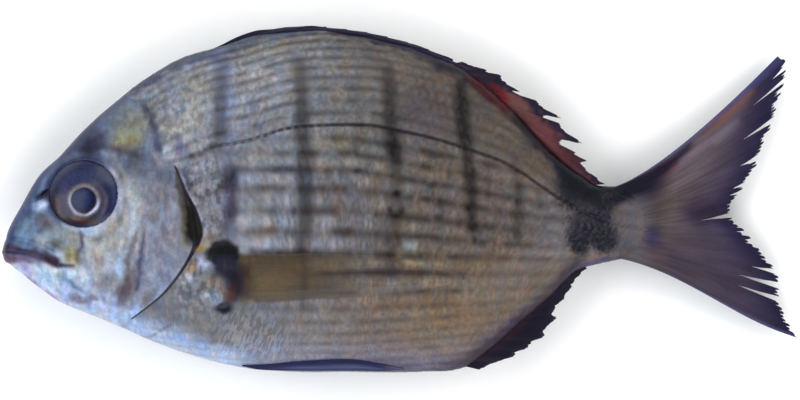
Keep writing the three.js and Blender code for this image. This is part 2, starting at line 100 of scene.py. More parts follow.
def smoothstep(low, high, value):
    t = np.clip((np.asarray(value, float) - low) / (high - low), 0, 1)
    return t * t * (3 - 2 * t)


def lerp(a, b, t):
    return a + (b - a) * t


def bell(value, middle, width):
    """1 in the middle, and less and less over the width to each side."""
    return np.exp(-((value - middle) / width)**2)


back_share = smooth_curve([(s[0], s[1]) for s in STATIONS])
belly_share = smooth_curve([(s[0], s[2]) for s in STATIONS])
thickness_share = smooth_curve([(s[0], s[3]) for s in STATIONS])
gill_edge_x = smooth_curve(GILL_EDGE)


def back_y(x):
    return back_share((x - SNOUT_X) / BODY_LENGTH) * BODY_DEPTH


def belly_y(x):
    return belly_share((x - SNOUT_X) / BODY_LENGTH) * BODY_DEPTH


def half_thickness(x):
    ending = 1 - TAIL_PINCH * smoothstep(TAIL_PINCH_START, TAIL_PINCH_END, x)
    return thickness_share((x - SNOUT_X) / BODY_LENGTH) * BODY_THICKNESS / 2 * ending


def middle_z(x):
    hang = np.clip((x - DROOP_START_X) / (TAIL_X - DROOP_START_X), 0, 1)
    return BODY_THICKNESS / 2 - PRESSED - TAIL_DROOP * hang**2


def pressed_height(z):
    soft = (z + PRESS_BLEND)**2 / (4 * PRESS_BLEND)
    return np.where(z >= PRESS_BLEND, z, np.where(z <= -PRESS_BLEND, 0, soft))


def height_share(x, y):
    """Where y lies between the middle of the section at x, 0, and its back, 1, or belly, -1."""
    top, bottom = back_y(x), belly_y(x)
    return (2 * y - top - bottom) / np.maximum(top - bottom, 1e-6)


def flank_points(x, h, side):
    """Points on the flank at the height share h. side is 1 on the left and -1 on the right."""
    top, bottom = back_y(x), belly_y(x)
    y = (top + bottom) / 2 + (top - bottom) / 2 * h
    flat = np.sqrt(np.clip(1 - h * h, 0, 1))
    out = half_thickness(x) * flat**np.where(h > 0, BACK_ROUNDING, BELLY_ROUNDING)
    z = middle_z(x) + side * out
    return np.stack([x, y, pressed_height(z)], axis=-1)


# ---------------------------------------------------------------- lines, spots and colours on the flank
LINE_STEPS = 60


def smooth_line(points):
    """Many points on a smooth line through the given ones."""
    points = np.array(points, float)
    steps = np.linalg.norm(np.diff(points, axis=0), axis=1)
    along = np.concatenate([[0], np.cumsum(steps)])
    share = np.linspace(0, along[-1], LINE_STEPS)
    return np.stack([smooth_curve(list(zip(along, values)))(share) for values in points.T], 1)


def to_line(x, y, points):
    """Distance from each place to the smooth line through points, and the share of it that is nearest."""
    line = smooth_line(points)
    steps = np.linalg.norm(np.diff(line, axis=0), axis=1)
    start = np.concatenate([[0], np.cumsum(steps)[:-1]])
    best = np.full(np.shape(x), 1e9)
    share = np.zeros(np.shape(x))
    for (ax, ay), (bx, by), step, before in zip(line[:-1], line[1:], steps, start):
        t = np.clip(((x - ax) * (bx - ax) + (y - ay) * (by - ay)) / step**2, 0, 1)
        away = np.hypot(x - ax - t * (bx - ax), y - ay - t * (by - ay))
        nearer = away < best
        best = np.where(nearer, away, best)
        share = np.where(nearer, (before + t * step) / steps.sum(), share)
    return best, share


def stroke(x, y, points, width, blur, taper=0.0):
    """1 on a brushed line and 0 beside it. width may be a list of widths along the line."""
    away, share = to_line(x, y, points)
    wide = np.interp(share, np.linspace(0, 1, np.size(width)), np.atleast_1d(width)) / 2
    ends = smoothstep(0, taper, share) * smoothstep(0, taper, 1 - share) if taper else 1
    return (1 - smoothstep(wide - blur / 2, wide + blur / 2, away)) * ends


def spot(x, y, centre, radii, turn=0.0, blur=0.35):
    """1 inside a turned ellipse, with a soft edge."""
    c, s = math.cos(math.radians(turn)), math.sin(math.radians(turn))
    dx, dy = x - centre[0], y - centre[1]
    away = np.hypot((dx * c + dy * s) / radii[0], (dy * c - dx * s) / radii[1])
    return 1 - smoothstep(1 - blur, 1 + blur, away)


def wander(x, y, size, seed):
    """Smooth unevenness from -1 to 1, with bumps of about the given size."""
    draw = np.random.default_rng(seed)
    total = np.zeros(np.shape(x))
    for _ in range(7):
        turn = draw.uniform(0, 2 * math.pi)
        length = size * draw.uniform(0.7, 1.6)
        wave = (x * math.cos(turn) + y * math.sin(turn)) / length * 2 * math.pi
        total = total + np.sin(wave + draw.uniform(0, 2 * math.pi))
    return total / 3.2


def srgb(r, g, b):
    return np.array([r, g, b], float) / 255


def to_linear(colour):
    colour = np.clip(colour, 0, 1)
    return np.where(colour <= 0.04045, colour / 12.92, ((colour + 0.055) / 1.055)**2.4)


PAINT_SHARE = 0.71  # of a colour as it is seen: the light's strength and the wet surface's shine add the rest
SHINE = 0.014
DARKEST = 0.0015


def lay(under, colour, mask):
    """Paints a colour over what is there."""
    return under + (colour - under) * np.clip(mask, 0, 1)[..., None]


def layered(colour, *coats):
    """Lays coats over a colour, one after the other. A coat is a tint and its mask."""
    for tint, mask in coats:
        colour = lay(colour, srgb(*tint), mask)
    return colour


def spotted(x, y, spots, blur):
    """The strongest of several spots at each place: x, y, two radii, turn and strength of each."""
    return np.max([strength * spot(x, y, (middle_x, middle_y), (long, high), turn, blur)
                   for middle_x, middle_y, long, high, turn, strength in spots], axis=0)


def dab(x, y, long, high, turn, strength, tint, blur=0.8):
    """A mark for marked: a turned ellipse with a soft edge."""
    return spot, ((x, y), (long, high), turn, blur), strength, tint


def brushed(points, width, blur, strength, tint, taper=0.0):
    """A mark for marked: a soft line, or one that fades towards its ends."""
    return stroke, (points, width, blur, taper), strength, tint


def marked(x, y, colour, marks):
    """Lays marks over a colour, one after the other: (what gives the mask, its form, strength, tint)."""
    for shape, form, strength, tint in marks:
        colour = lay(colour, srgb(*tint), strength * shape(x, y, *form))
    return colour


def roughened(x, y):
    """Places pushed about a little, so that what is painted at them gets uneven edges."""
    return x + 0.3 * wander(x, y, 4, 61) + 0.16 * wander(x, y, 1.9, 62), y + 0.3 * wander(x, y, 4, 63)


# The lateral line from the gill cover to the tail, and how the rows of scales follow it.
LATERAL_LINE = [
    (-78.6, 6.9), (-70.7, 11.6), (-61.3, 15.4), (-56.6, 16.9), (-50.3, 17.9), (-44.1, 19.6),
    (-36.2, 22.1), (-31.5, 22.9), (-19, 23.5), (-11.1, 23.5), (-4.9, 22.7), (1.4, 21.3), (9.3, 19.6),
    (18.7, 16.6), (31.2, 12.2), (37.5, 8.8), (43.8, 4.4), (50, 0.3), (59.4, -4.7), (68.9, -7.8),
    (79.8, -9.7),
]
lateral_y = smooth_curve(LATERAL_LINE)
ROWS_ABOVE = [0, 4.0, 8.0, 11.8, 15.6, 19.1, 22.4, 25.7, 28.9, 32.0]  # over the line
ROW_HEIGHTS = [24.5, 19.4, 14.6, 9.4, 3.5, -3.5, -10.0, -16.9, -22.9, -28.9, -34.5,
               -38.9, -42.7, -46.1, -49.2, -52.7]
ROW_BENDS = [1, 1, 1, 0.9, 0.78, 0.6, 0.4, 0.15, 0.05, -0.1, -0.25, -0.36, -0.42, -0.48, -0.5, -0.55]
rear_bend = smooth_curve([(-15.8, 0), (1.4, 3.1), (17.1, 6.0), (32.8, 9.4), (62.6, 13.8)])
ROW_OVER_THE_BACK = 3.2
SCALE_LENGTHS = [  # at places along the body
    (-130, 1.7), (-80, 2), (-50, 2.35), (0, 2.45), (40, 2.2), (65, 1.7), (82, 1.4),
]


def rows_below(x, y):
    """Rows counted down the flank. The upper ones bend down towards the tail, the lower ones up."""
    heights = [height - rear_bend(x) * bend for height, bend in zip(ROW_HEIGHTS, ROW_BENDS)]
    rows = sum(np.clip((high - y) / (high - low), 0, 1) for high, low in zip(heights[:-1], heights[1:]))
    return rows + np.maximum(heights[-1] - y, 0) / ROW_OVER_THE_BACK


def scale_places(x, y):
    """Scales along the body, s, and rows of scales away from the lateral line, t. t is 0 on the line."""
    grid = np.linspace(SCALE_LENGTHS[0][0], SCALE_LENGTHS[-1][0] + 3, 400)
    passed = np.concatenate([[0], np.cumsum(np.diff(grid) / smooth_curve(SCALE_LENGTHS)(grid[1:]))])
    line = lateral_y(x)
    above = np.interp(y - line, ROWS_ABOVE, np.arange(len(ROWS_ABOVE)))
    above = above + np.maximum(y - line - ROWS_ABOVE[-1], 0) / ROW_OVER_THE_BACK
    t = np.where(y > line, above, -rows_below(x, y))
    slope = (lateral_y(x + 1) - lateral_y(x - 1)) / 2
    s = np.interp(x + (y - line) * slope * 0.5, grid, passed)
    return s, t


def row_strength(x, y):
    """How plainly the rows of scales show: well in the middle, hardly behind and above the lateral line."""
    above = smooth_curve([(-78.6, 0.7), (-50.3, 0.9), (-17.4, 0.9), (-4.9, 0.7), (9.3, 0.45)])(x)
    below = smooth_curve([(-78.6, 0.4), (-48.8, 0.65), (-36.2, 0.9), (17.1, 1.1), (31.2, 1.0),
                          (46.9, 0.8), (61.0, 0.3)])(x)
    low = smooth_curve([(-51.8, 0.4), (-31.4, 0.75), (-19.4, 1), (-15.7, 1)])(y)
    calm = smoothstep(9.3, 28.1, x) * smoothstep(-14.1, -22.0, y)
    return lerp(below * low * (1 - 0.5 * calm), above, smoothstep(-1.5, 1.5, y - lateral_y(x)))


# ---------------------------------------------------------------- the head's landmarks
EYE_CENTRE = (-99.2, 1.9)
EYE_RADII = (10.7, 10.3)
PUPIL_CENTRE = (-98.9, -0.1)
GAPE = [
    (-127.5, -16.3), (-123.1, -16.3), (-119.4, -16.5), (-115, -17.6), (-110.6, -19.4), (-106.2, -22),
]
gape_y = smooth_curve(GAPE)
GAPE_END_X = -106.2
PREOPERCLE_REAR = [
    (-79.2, -6.9), (-79.8, -11.6), (-80.8, -17.3), (-81.4, -22.6), (-82.3, -27), (-84.2, -31.7),
]
PREOPERCLE_FRONT = [
    (-81.4, -6.9), (-82.3, -10.4), (-83.6, -14.7), (-85.2, -19.4), (-84.9, -23.2), (-86.4, -28.2),
    (-89.2, -32),
]
SUBORBITAL = [
    (-101.8, -14.7), (-99.3, -13.5), (-95.5, -12.9), (-91.8, -11.3), (-88.6, -8.5), (-86.4, -4.4),
    (-85.2, 0),
]
HEAD_END = [
    (-88.6, 36.4), (-85.5, 32.6), (-80.8, 30.1), (-77.9, 25.7), (-76.1, 20.7), (-74.5, 15.7),
    (-71.7, 11.9),
]
GILL_GAPE_Y, GILL_GAPE_REACH = -8.8, (8.5, 6.0)  # where the slit is widest, and how far it gapes up and down


def orbit_share(x, y):
    """0 in the middle of the eye, 1 on the orbit's rim."""
    return np.hypot((x - EYE_CENTRE[0]) / EYE_RADII[0], (y - EYE_CENTRE[1]) / EYE_RADII[1])


def gill_window(y):
    """0 at the gill cover's ends and 1 halfway up."""
    return np.sin(np.pi * np.clip((y - GILL_LOW) / (GILL_HIGH - GILL_LOW), 0, 1))


def gill_wedge(y):
    """1 where the gill slit gapes most, 0 where it is a mere line."""
    return bell(y, GILL_GAPE_Y, np.where(y > GILL_GAPE_Y, *GILL_GAPE_REACH))


def gill_slit(wedge):
    """Where the slit's middle lies behind the gill cover's edge, and half its width."""
    return 0.25 - 1.6 * wedge, 0.4 + 1.25 * wedge


def head_mask(x, y):
    """1 on the head, 0 on the trunk, with the edge along the gill cover and across the nape."""
    nape = smooth_curve([(py, px) for px, py in HEAD_END[::-1]])(y)
    edge = np.where(y > GILL_HIGH, nape, gill_edge_x(y))
    throat = smoothstep(GILL_LOW - 7, GILL_LOW, y)
    edge = lerp(gill_edge_x(np.maximum(y, GILL_LOW)) + 6, edge, throat)
    return 1 - smoothstep(-0.5, 0.7, x - edge)


# The left pectoral fin's outline, which the right one shares.
PECTORAL_ROOT_X, PECTORAL_TIP_X = -54.8, 20.0
PECTORAL_EDGES = [
    (0, -15.2, -31.2), (0.06, -16.9, -31.9), (0.2, -16.9, -31.6), (0.35, -16.7, -30.8),
    (0.6, -17.2, -29.9), (0.78, -18.6, -28.6), (0.92, -21.3, -26.8), (1, -23.6, -25),
]
pectoral_top = smooth_curve([(e[0], e[1]) for e in PECTORAL_EDGES])
pectoral_bottom = smooth_curve([(e[0], e[2]) for e in PECTORAL_EDGES])


def pectoral_share(x):
    """0 at the pectoral fin's root, 1 at its tip."""
    return (x - PECTORAL_ROOT_X) / (PECTORAL_TIP_X - PECTORAL_ROOT_X)


def pectoral_bed(x, y):
    """1 at the root of the left pectoral fin and just round it, where fin and skin look the same."""
    share = pectoral_share(x)
    inside = smoothstep(-1.0, 0.8, pectoral_top(share) - y)
    inside = inside * smoothstep(-1.0, 0.8, y - pectoral_bottom(share))
    return inside * smoothstep(-51.9, -49.4, x) * smoothstep(-1.7, -31.5, x)


def under_pectoral(x, y, margin):
    share = pectoral_share(x)
    inside_x = smoothstep(-0.01, 0.01, share) * (1 - smoothstep(1.0, 1.03, share))
    top = pectoral_top(share) + margin
    bottom = pectoral_bottom(share) - margin
    return inside_x * smoothstep(-0.4, 0.4, top - y) * smoothstep(-0.4, 0.4, y - bottom)


FOLD_PARTS = [  # x, y, radii, turn, strength
    (-55.2, -16.5, 3.7, 3, -4, 1), (-54.4, -19.8, 3.8, 4.1, -25, 1), (-56.9, -18.5, 2.3, 2.6, -30, 1),
    (-55.4, -33.6, 2.2, 1.2, 10, 1),
]
FOLD_HOOK = [(-53.8, -21.3), (-51.9, -24.8), (-51.6, -28.2), (-53.2, -31.4), (-54.7, -33.6)]
FOLD_WIDTHS = [6.4, 4.8, 4.2, 3.2, 2.2]


def axil_fold(x, y, softness=1.0):
    """1 in the dark fold round the pectoral fin's root: a wide head above and a hook below."""
    hook = stroke(x, y, FOLD_HOOK, FOLD_WIDTHS, 1.8 * softness)
    return np.maximum(hook, spotted(x, y, FOLD_PARTS, 0.25 * softness))


GILL_COVER_RISE, GILL_COVER_REACH = 1.2, 34
SOCKET_DEPTH, MOUTH_DEPTH, NOSTRIL_DEPTH, FIN_BED_DEPTH = 6.0, 0.7, 1.3, 1.5
SCALE_RISE, LINE_RISE, PORE_RISE = 0.11, 0.16, 0.07
PRE_OPERCLE_RELIEF = [  # line, distance from it, width and height of a groove or ridge
    (PREOPERCLE_REAR, 0, 0.9, -0.3), (PREOPERCLE_FRONT, 0, 1.1, -0.2), (PREOPERCLE_REAR, 2.0, 1.5, 0.2),
]


def relief(x, y, h, side, scales):
    """How far the skin stands out of the plain form, in millimetres. scales comes from scale_places."""
    window = gill_window(y)
    behind = x - gill_edge_x(y)
    cover = GILL_COVER_RISE * window * (1 - smoothstep(0, GILL_COVER_REACH, -behind))
    cover = cover * smoothstep(-0.1, 0.5, -behind)
    wedge = gill_wedge(y)
    rolled = 0.2 * window**0.5 * (1 - wedge) * bell(behind, -1.6, 0.9)
    slit = -(0.35 + 0.35 * wedge) * window**0.4 * bell(behind, *gill_slit(wedge))
    slit = np.where((y > GILL_LOW) & (y < GILL_HIGH), slit, 0)
    total = cover + rolled + slit
    for line, away, width, height in PRE_OPERCLE_RELIEF:
        total = total + height * bell(to_line(x, y, line)[0], away, width)

    orbit = orbit_share(x, y)
    total = total + 0.15 * bell(orbit, 1.07, 0.07) - 0.2 * bell(orbit, 1.3, 0.1)
    shelf, _ = to_line(x, y, SUBORBITAL)
    total = total - 0.2 * bell(shelf, 0, 1.0) * smoothstep(1.1, 1.3, orbit)
    total = total * smoothstep(0.97, 1.03, orbit) - SOCKET_DEPTH * (1 - smoothstep(0.96, 1.005, orbit))

    off = y - gape_y(x)
    in_mouth = 1 - smoothstep(GAPE_END_X - 4, GAPE_END_X + 0.5, x)
    total = total - MOUTH_DEPTH * in_mouth * bell(off, 0, 0.4)
    total = total + in_mouth * (0.25 * bell(off, 1.7, 1.1) + 0.35 * bell(off, -1.7, 1.1))
    total = total - 0.35 * in_mouth * (bell(off, 4.1, 0.8) + bell(off, -4.2, 0.9))
    jaw = stroke(x, y, [(-106.5, -20.7), (-104.9, -23.5), (-103, -26.3)], 0.8, 0.8)
    maxilla = stroke(x, y, [(-109.9, -14.7), (-106.2, -16.9), (-103, -19.4)], 3.0, 1.6)
    total = total - 0.45 * jaw + 0.4 * maxilla
    nostril = spot(x, y, (-111.6, 2.4), (1.7, 0.55), 38) + spot(x, y, (-114, 0), (0.6, 0.45), 30)
    total = total - NOSTRIL_DEPTH * nostril + 0.3 * spot(x, y, (-112.5, -1.6), (1.6, 1.2), 30, 0.8)

    axil = stroke(x, y, [(-60.4, -21.3), (-58.5, -25.1), (-56, -30.1)], 4.0, 2.5)
    total = total - 0.3 * axil_fold(x, y, 1.6) + 0.5 * axil

    s, t = scales
    v = t - np.floor(t) - 0.5
    along = s + 0.5 * np.mod(np.floor(t), 2) + 2 * v * v
    total = total + scale_mask(x, y) * SCALE_RISE * (along - np.floor(along) - 0.5) * (1 - (2 * v)**4)
    on_line = bell(y, lateral_y(x), 0.55) * smoothstep(-72, -66, x)
    total = total + on_line * (LINE_RISE + PORE_RISE * np.sin(2 * math.pi * s))
    total = total + 0.10 * wander(x, y, 24, 3) + 0.05 * wander(x, y, 9, 4)
    low = (side < 0) * (1 - smoothstep(0.2, 2.0, flank_points(x, h, -1)[..., 2]))
    total = total * (1 - 0.9 * under_pectoral(x, y, 0.6))
    recess = under_pectoral(x, y, 0.4) * low
    return total * (1 - recess) - FIN_BED_DEPTH * recess


def scale_mask(x, y):
    """1 where scales show: the trunk and the nape, not the face or the tail's root."""
    small = np.maximum(0.75 * shoulder_mask(x, y), 0.7 * chest_mask(x, y))
    bare = np.maximum(head_mask(x, y), smoothstep(70.4, 79.8, x))
    return np.clip((1 - bare) * (1 - small), 0, 1)


def shoulder_mask(x, y):
    """1 behind the gill cover, where the scales are small and hard to tell apart."""
    upper = spot(x, y, (-61.0, 1.3), (8.5, 13.5), 6, 0.4)
    lower = spot(x, y, (-64.5, -26.7), (8, 9), 35, 0.5)
    nape = 0.75 * spot(x, y, (-68.2, 27.6), (9, 12), -25, 0.9)
    return np.clip(upper + lower + nape, 0, 1) * (1 - head_mask(x, y))


def chest_mask(x, y):
    """1 below the pectoral fin's root, where short slanting scales lie close together."""
    return spot(x, y, (-47.2, -41.4), (13.5, 7.5), -14, 0.6) * (1 - head_mask(x, y))


def stalk_mask(x, y):
    return spot(x, y, (60.1, -5.6), (13, 14), -20, 0.5)


# ---------------------------------------------------------------- the skin's colours
FACE_REGIONS = [  # centre, reach, colour
    ((-116.2, -3.8), (6.5, 9), (80, 99, 140)), ((-109.3, -8.8), (7, 6), (112, 130, 148)),
    ((-100.5, 18.2), (16, 7), (128, 141, 176)), ((-88, 12.5), (8, 8), (88, 94, 112)),
    ((-85.5, 29.8), (8, 6), (114, 122, 142)), ((-109.9, -23.5), (8, 5), (206, 224, 255)),
    ((-99, -32.3), (10, 3.5), (184, 198, 240)), ((-94.9, -19.4), (9, 9), (167, 175, 190)),
    ((-86.7, -7.8), (5, 9), (172, 180, 192)), ((-73.9, -6.9), (8, 16), (134, 136, 152)),
    ((-78.6, -26.7), (9, 7), (138, 145, 170)), ((-83.3, -38.3), (14, 4), (175, 202, 248)),
]


def face_colour(x, y):
    """Each region's colour, run into its neighbours."""
    total = np.zeros(np.shape(x) + (3,))
    weights = np.full(np.shape(x), 1e-9)
    for centre, reach, colour in FACE_REGIONS:
        weight = bell(x, centre[0], reach[0]) * bell(y, centre[1], reach[1])
        weight = weight + 1e-5 / (1 + np.hypot(x - centre[0], y - centre[1]))
        total += weight[..., None] * srgb(*colour)
        weights += weight
    return total / weights[..., None]


FLANK_MARKS = [
    dab(-56, 32, 3.4, 14, 2, 0.6, (132, 146, 192)), dab(-56.6, 16.9, 4, 4, 0, 0.4, (120, 126, 150)),
    dab(7.7, 28.9, 9, 9, 0, 0.6, (84, 72, 80)), dab(1.4, 39.2, 6, 4, 0, 0.4, (106, 92, 80)),
    dab(17.1, -22, 16, 6, -8, 0.4, (120, 104, 84)), dab(9.3, -37, 14, 8, 0, 0.5, (122, 100, 74)),
    dab(-11.1, -37, 12, 8, 0, 0.35, (116, 98, 92)), dab(37.5, -26.7, 10, 7, -25, 0.4, (118, 106, 98)),
    dab(-17.4, 15.7, 8, 5, 0, 0.4, (106, 104, 92)), dab(32.8, 25.1, 6, 8, -40, 0.4, (104, 94, 82)),
    dab(-50, -1.6, 1.3, 13, 2, 0.6, (172, 174, 190)), dab(-42.2, 6.9, 8, 1.7, 0, 0.45, (160, 160, 174)),
    dab(-43.4, 12.9, 8, 2.2, 0, 0.45, (164, 162, 152)),
    dab(-43.4, -14.1, 8, 2.2, 0, 0.6, (160, 162, 182)), dab(-22.1, -13.5, 6, 2, 0, 0.5, (144, 140, 154)),
    dab(-22.7, -7.2, 1.8, 2.6, 0, 0.7, (166, 172, 194)),
    dab(-15.2, 0.6, 3.6, 1.5, 0, 0.5, (134, 132, 150)), dab(-24.6, 11, 1.6, 1.2, 0, 0.5, (160, 152, 144)),
    dab(3, -14.1, 2.4, 2.4, 0, 0.5, (130, 144, 158)), dab(0.5, -19.4, 8, 0.9, -2, 0.5, (150, 142, 122)),
    dab(-37.2, 9.7, 4.4, 1.1, 0, 0.6, (62, 60, 76)), dab(-16.2, -10, 3.6, 1.3, 0, 0.5, (84, 62, 50)),
    dab(-40.9, 3.8, 3.4, 1.3, 0, 0.4, (80, 68, 62)), dab(-21.8, 3.8, 3, 1.2, 0, 0.4, (86, 72, 60)),
    dab(-40.6, -9.4, 2.4, 1.2, 0, 0.5, (92, 68, 58)), dab(-44.7, 46.4, 7, 3, 12, 0.5, (142, 140, 126)),
    dab(-31.5, 48.9, 12, 2, 3, 0.5, (130, 126, 112)), dab(-64.1, 28.2, 5, 7, 0, 0.5, (150, 150, 142)),
    dab(-68.5, 20.7, 5, 4, 20, 0.6, (162, 160, 150)), dab(-61.3, 37.6, 4, 4, 30, 0.4, (142, 140, 132)),
    dab(46.9, -6.9, 6, 10, 12, 0.6, (98, 98, 109)), dab(46.3, -15.7, 8, 5, 30, 0.4, (110, 107, 113)),
    dab(-61.3, -40.2, 5, 3, -30, 0.5, (118, 108, 104)), dab(-56, -43.3, 6, 2, -14, 0.5, (108, 100, 98)),
    dab(-53.2, 0.6, 3, 12, -6, 0.65, (80, 79, 108)), dab(-48.8, 15.7, 10, 12, 0, 0.35, (112, 114, 126)),
    dab(-61.3, 0, 4, 10, 8, 0.4, (96, 94, 108)), dab(-17.1, -3.1, 9, 9, 0, 0.35, (94, 84, 88)),
]
OCHRE = [  # where the scales are yellower: x, y, radii, turn, strength
    (9.3, -37, 15, 8, 0, 0.6), (4.5, -18.2, 13, 4, -4, 0.5), (12.4, 8.8, 7, 2.4, -6, 0.8),
    (2.4, -6, 3.4, 3.4, 0, 0.8), (12.4, 32.9, 12, 6, 20, 0.35), (25.6, -16.3, 7, 3, 0, 0.5),
    (-7.7, -30.4, 5, 3, 0, 0.9), (45.3, 5.6, 4, 6, 30, 0.7), (-17.4, 18.2, 12, 4, 0, 0.45),
    (32.8, -28.9, 12, 5, -20, 0.15), (-19.6, -2.8, 3, 3, 0, 0.5), (-2.7, 7.2, 4, 2.6, 0, 0.7),
    (37.5, 4.4, 5, 5, 20, 0.5), (-43.4, -12.5, 9, 2, 0, 0.3), (-15.8, 34.5, 14, 8, 0, 0.3),
]


def ochre_share(x, y):
    return spotted(x, y, OCHRE, 0.9)


def trunk_colour(x, y):
    """Silver-blue in front, brown behind, yellower low on the flank and pale blue at the belly."""
    h = height_share(x, y)
    front = smooth_curve([(-60, 1), (-28, 0.62), (-10, 0.25), (20, 0), (60, 0)])(x)[..., None]
    rear = smooth_curve([(-40, 0), (0, 0.4), (35, 1), (60, 1)])(x)[..., None]
    colour = lerp(srgb(105, 101, 99), srgb(141, 145, 157), front)
    colour = lerp(colour, srgb(101, 92, 88), rear * (1 - front))
    upper = smoothstep(-1, 4, y - lateral_y(x)) * smoothstep(-47.2, -22.1, x)
    colour = colour * (1 - 0.07 * upper[..., None])
    low = smoothstep(-0.15, -0.62, h)[..., None]
    low_colour = lerp(lerp(srgb(106, 97, 93), srgb(118, 120, 130), front), srgb(119, 107, 99), rear)
    colour = lerp(colour, low_colour, low)
    edge = smoothstep(-0.76, -0.95, h)[..., None]
    blue_belly = smooth_curve([(-75, 1), (-55, 0.95), (-45, 0.5), (-25, 0.12), (0, 0)])(x)[..., None]
    edge_colour = lerp(lerp(srgb(120, 117, 136), srgb(112, 101, 113), rear), srgb(174, 197, 239), blue_belly)
    colour = lerp(colour, edge_colour, edge)
    above_belly = y - belly_y(x)
    # Painted shade: a dark navy line along the rear half of the belly's edge, where the flank curves under.
    colour = lay(colour, srgb(66, 60, 88), 0.85 * smoothstep(1.8, 0.3, above_belly) * smoothstep(-5, 10, x))
    # Painted shadow: a dark band on the body just above the anal fin's root.
    shade_above_anal = smoothstep(6.5, 0.5, above_belly) * smoothstep(8, 24, x) * smoothstep(60, 52, x)
    colour = lay(colour, srgb(52, 42, 54), 0.9 * shade_above_anal)

    # the dark back
    deep = back_y(x) - y
    wide = smooth_curve([(-88.0, 1.5), (-75.4, 4.6), (-47.2, 5.0), (-34.7, 2.6), (-22.1, 2.2),
                         (-0.2, 3.2), (12.4, 5.2), (24.9, 6.0), (62.6, 5.0)])(x)
    back_colour = lerp(srgb(74, 82, 104), srgb(46, 43, 53), smoothstep(-31.5, -15.8, x)[..., None])
    colour = lay(colour, back_colour, 0.9 * smoothstep(wide, 0.3 * wide, deep + 0.8 * wander(x, y, 7, 71)))
    return marked(x, y, colour, FLANK_MARKS)


ROOT_MARKS = [
    dab(73.2, -8.8, 4.4, 8, 0, 0.8, (98, 93, 100)),
    brushed([(66.3, 4.4), (75.1, 4.4), (83, 6.9)], 7, 5, 0.9, (40, 36, 48)),
    dab(79.8, -12.2, 2.6, 3.6, 0, 0.8, (58, 52, 84)), dab(80.8, -16.9, 4, 1.8, -12, 0.6, (92, 74, 78)),
]
PECTORAL_TONE = (82, 71, 59)
BED_MARKS = [
    dab(-41.6, -25.7, 7, 3.4, 0, 0.7, (105, 89, 65), 0.9),
    brushed([(-48.5, -15.7), (-39.4, -16.3), (-30, -16.3), (-23.7, -16.9)], [1.2, 1.6, 1.4, 0.8], 2.4, 0.6,
            (60, 54, 54), 0.1),
    brushed([(-30.6, -15.7), (-30, -23.5), (-30.3, -32.6)], [1.4, 1.8, 1.4], 3.2, 0.6, (62, 53, 52)),
]
# The fold round the pectoral fin's root, on the skin and on the fin: partly the skin's own black and partly
# painted shade in the fold, darkest along its top.
FOLD_MARKS = [
    brushed([(-49.4, -18.8), (-49.1, -24.5), (-50, -30.1)], [3, 4.6, 3.4], 5, 0.85, (64, 49, 48), 0.15),
    (axil_fold, (1.8,), 1, (34, 32, 46)),
    brushed([(-59.8, -17.9), (-58.5, -15.7), (-56, -14.7), (-53.5, -14.7), (-51.6, -15.7), (-51.6, -18.2)],
            [1.2, 3, 3.6, 3.4, 2.4, 1.2], 2.4, 0.9, (10, 9, 14)),
    dab(-54.1, -21, 3.2, 3.4, -20, 0.7, (56, 58, 74), 0.9),
    dab(-51.9, -26.3, 1.3, 3.4, -4, 0.8, (34, 24, 36), 0.7),
    dab(-52.9, -29.2, 1.5, 3, -14, 0.8, (84, 46, 44)),
    dab(-55.4, -33.6, 2.2, 1.2, 8, 0.9, (22, 20, 44), 0.9),
]
NAPE_MARKS = [
    dab(-83.9, 23.8, 7, 4.5, 35, 0.7, (150, 150, 134)),
    dab(-84.9, 18.8, 4.6, 2.6, 12, 0.8, (152, 146, 104), 0.9),
    dab(-97.4, 16.9, 4.2, 5.2, -35, 0.9, (42, 44, 64), 0.9),
    brushed([(-106.8, 13.2), (-98, 23.2), (-88.6, 32.6), (-78.6, 39.8)], 4.4, 4, 0.85, (56, 60, 90)),
    brushed([(-123.7, -16.3), (-121.9, -9.4), (-118.7, -1.3), (-114.3, 6.3), (-106.8, 13.2)], 4, 3.2, 0.85,
            (58, 66, 108)),
    brushed([(-113.7, 1.3), (-110.6, 6.9), (-105.6, 10.7)], 2.2, 2.6, 0.6, (108, 126, 158), 0.1),
    brushed([(-81.4, 31.4), (-77.9, 25.7), (-76.1, 20.1), (-74.5, 13.2)], 2, 2.8, 0.65, (56, 56, 74), 0.15),
    brushed([(-93, 16.6), (-87.4, 15.4), (-82.3, 13.8), (-80.5, 10.7)], 2.8, 3.6, 0.65, (66, 60, 66), 0.25),
    brushed([(-94.9, 16.3), (-91.8, 14.4), (-88, 13.5), (-84.9, 12.5)], 1.6, 2.2, 0.5, (158, 164, 182), 0.2),
    dab(-69.2, 16.9, 2.2, 2.6, 20, 0.7, (112, 118, 164)),
    dab(-72.6, 14.7, 1.8, 1.8, 0, 0.8, (188, 200, 214)),
    dab(-63.2, 8.8, 1.4, 2.4, -10, 0.5, (190, 188, 212)),
    brushed([(-67.3, 13.2), (-63.5, 13.8), (-60.4, 15.1)], 1.4, 1.8, 0.6, (66, 58, 66), 0.2),
    brushed([(-67.9, 10.7), (-66, 5.6), (-64.8, 1.3)], 1.4, 2, 0.6, (70, 62, 74), 0.2),
]
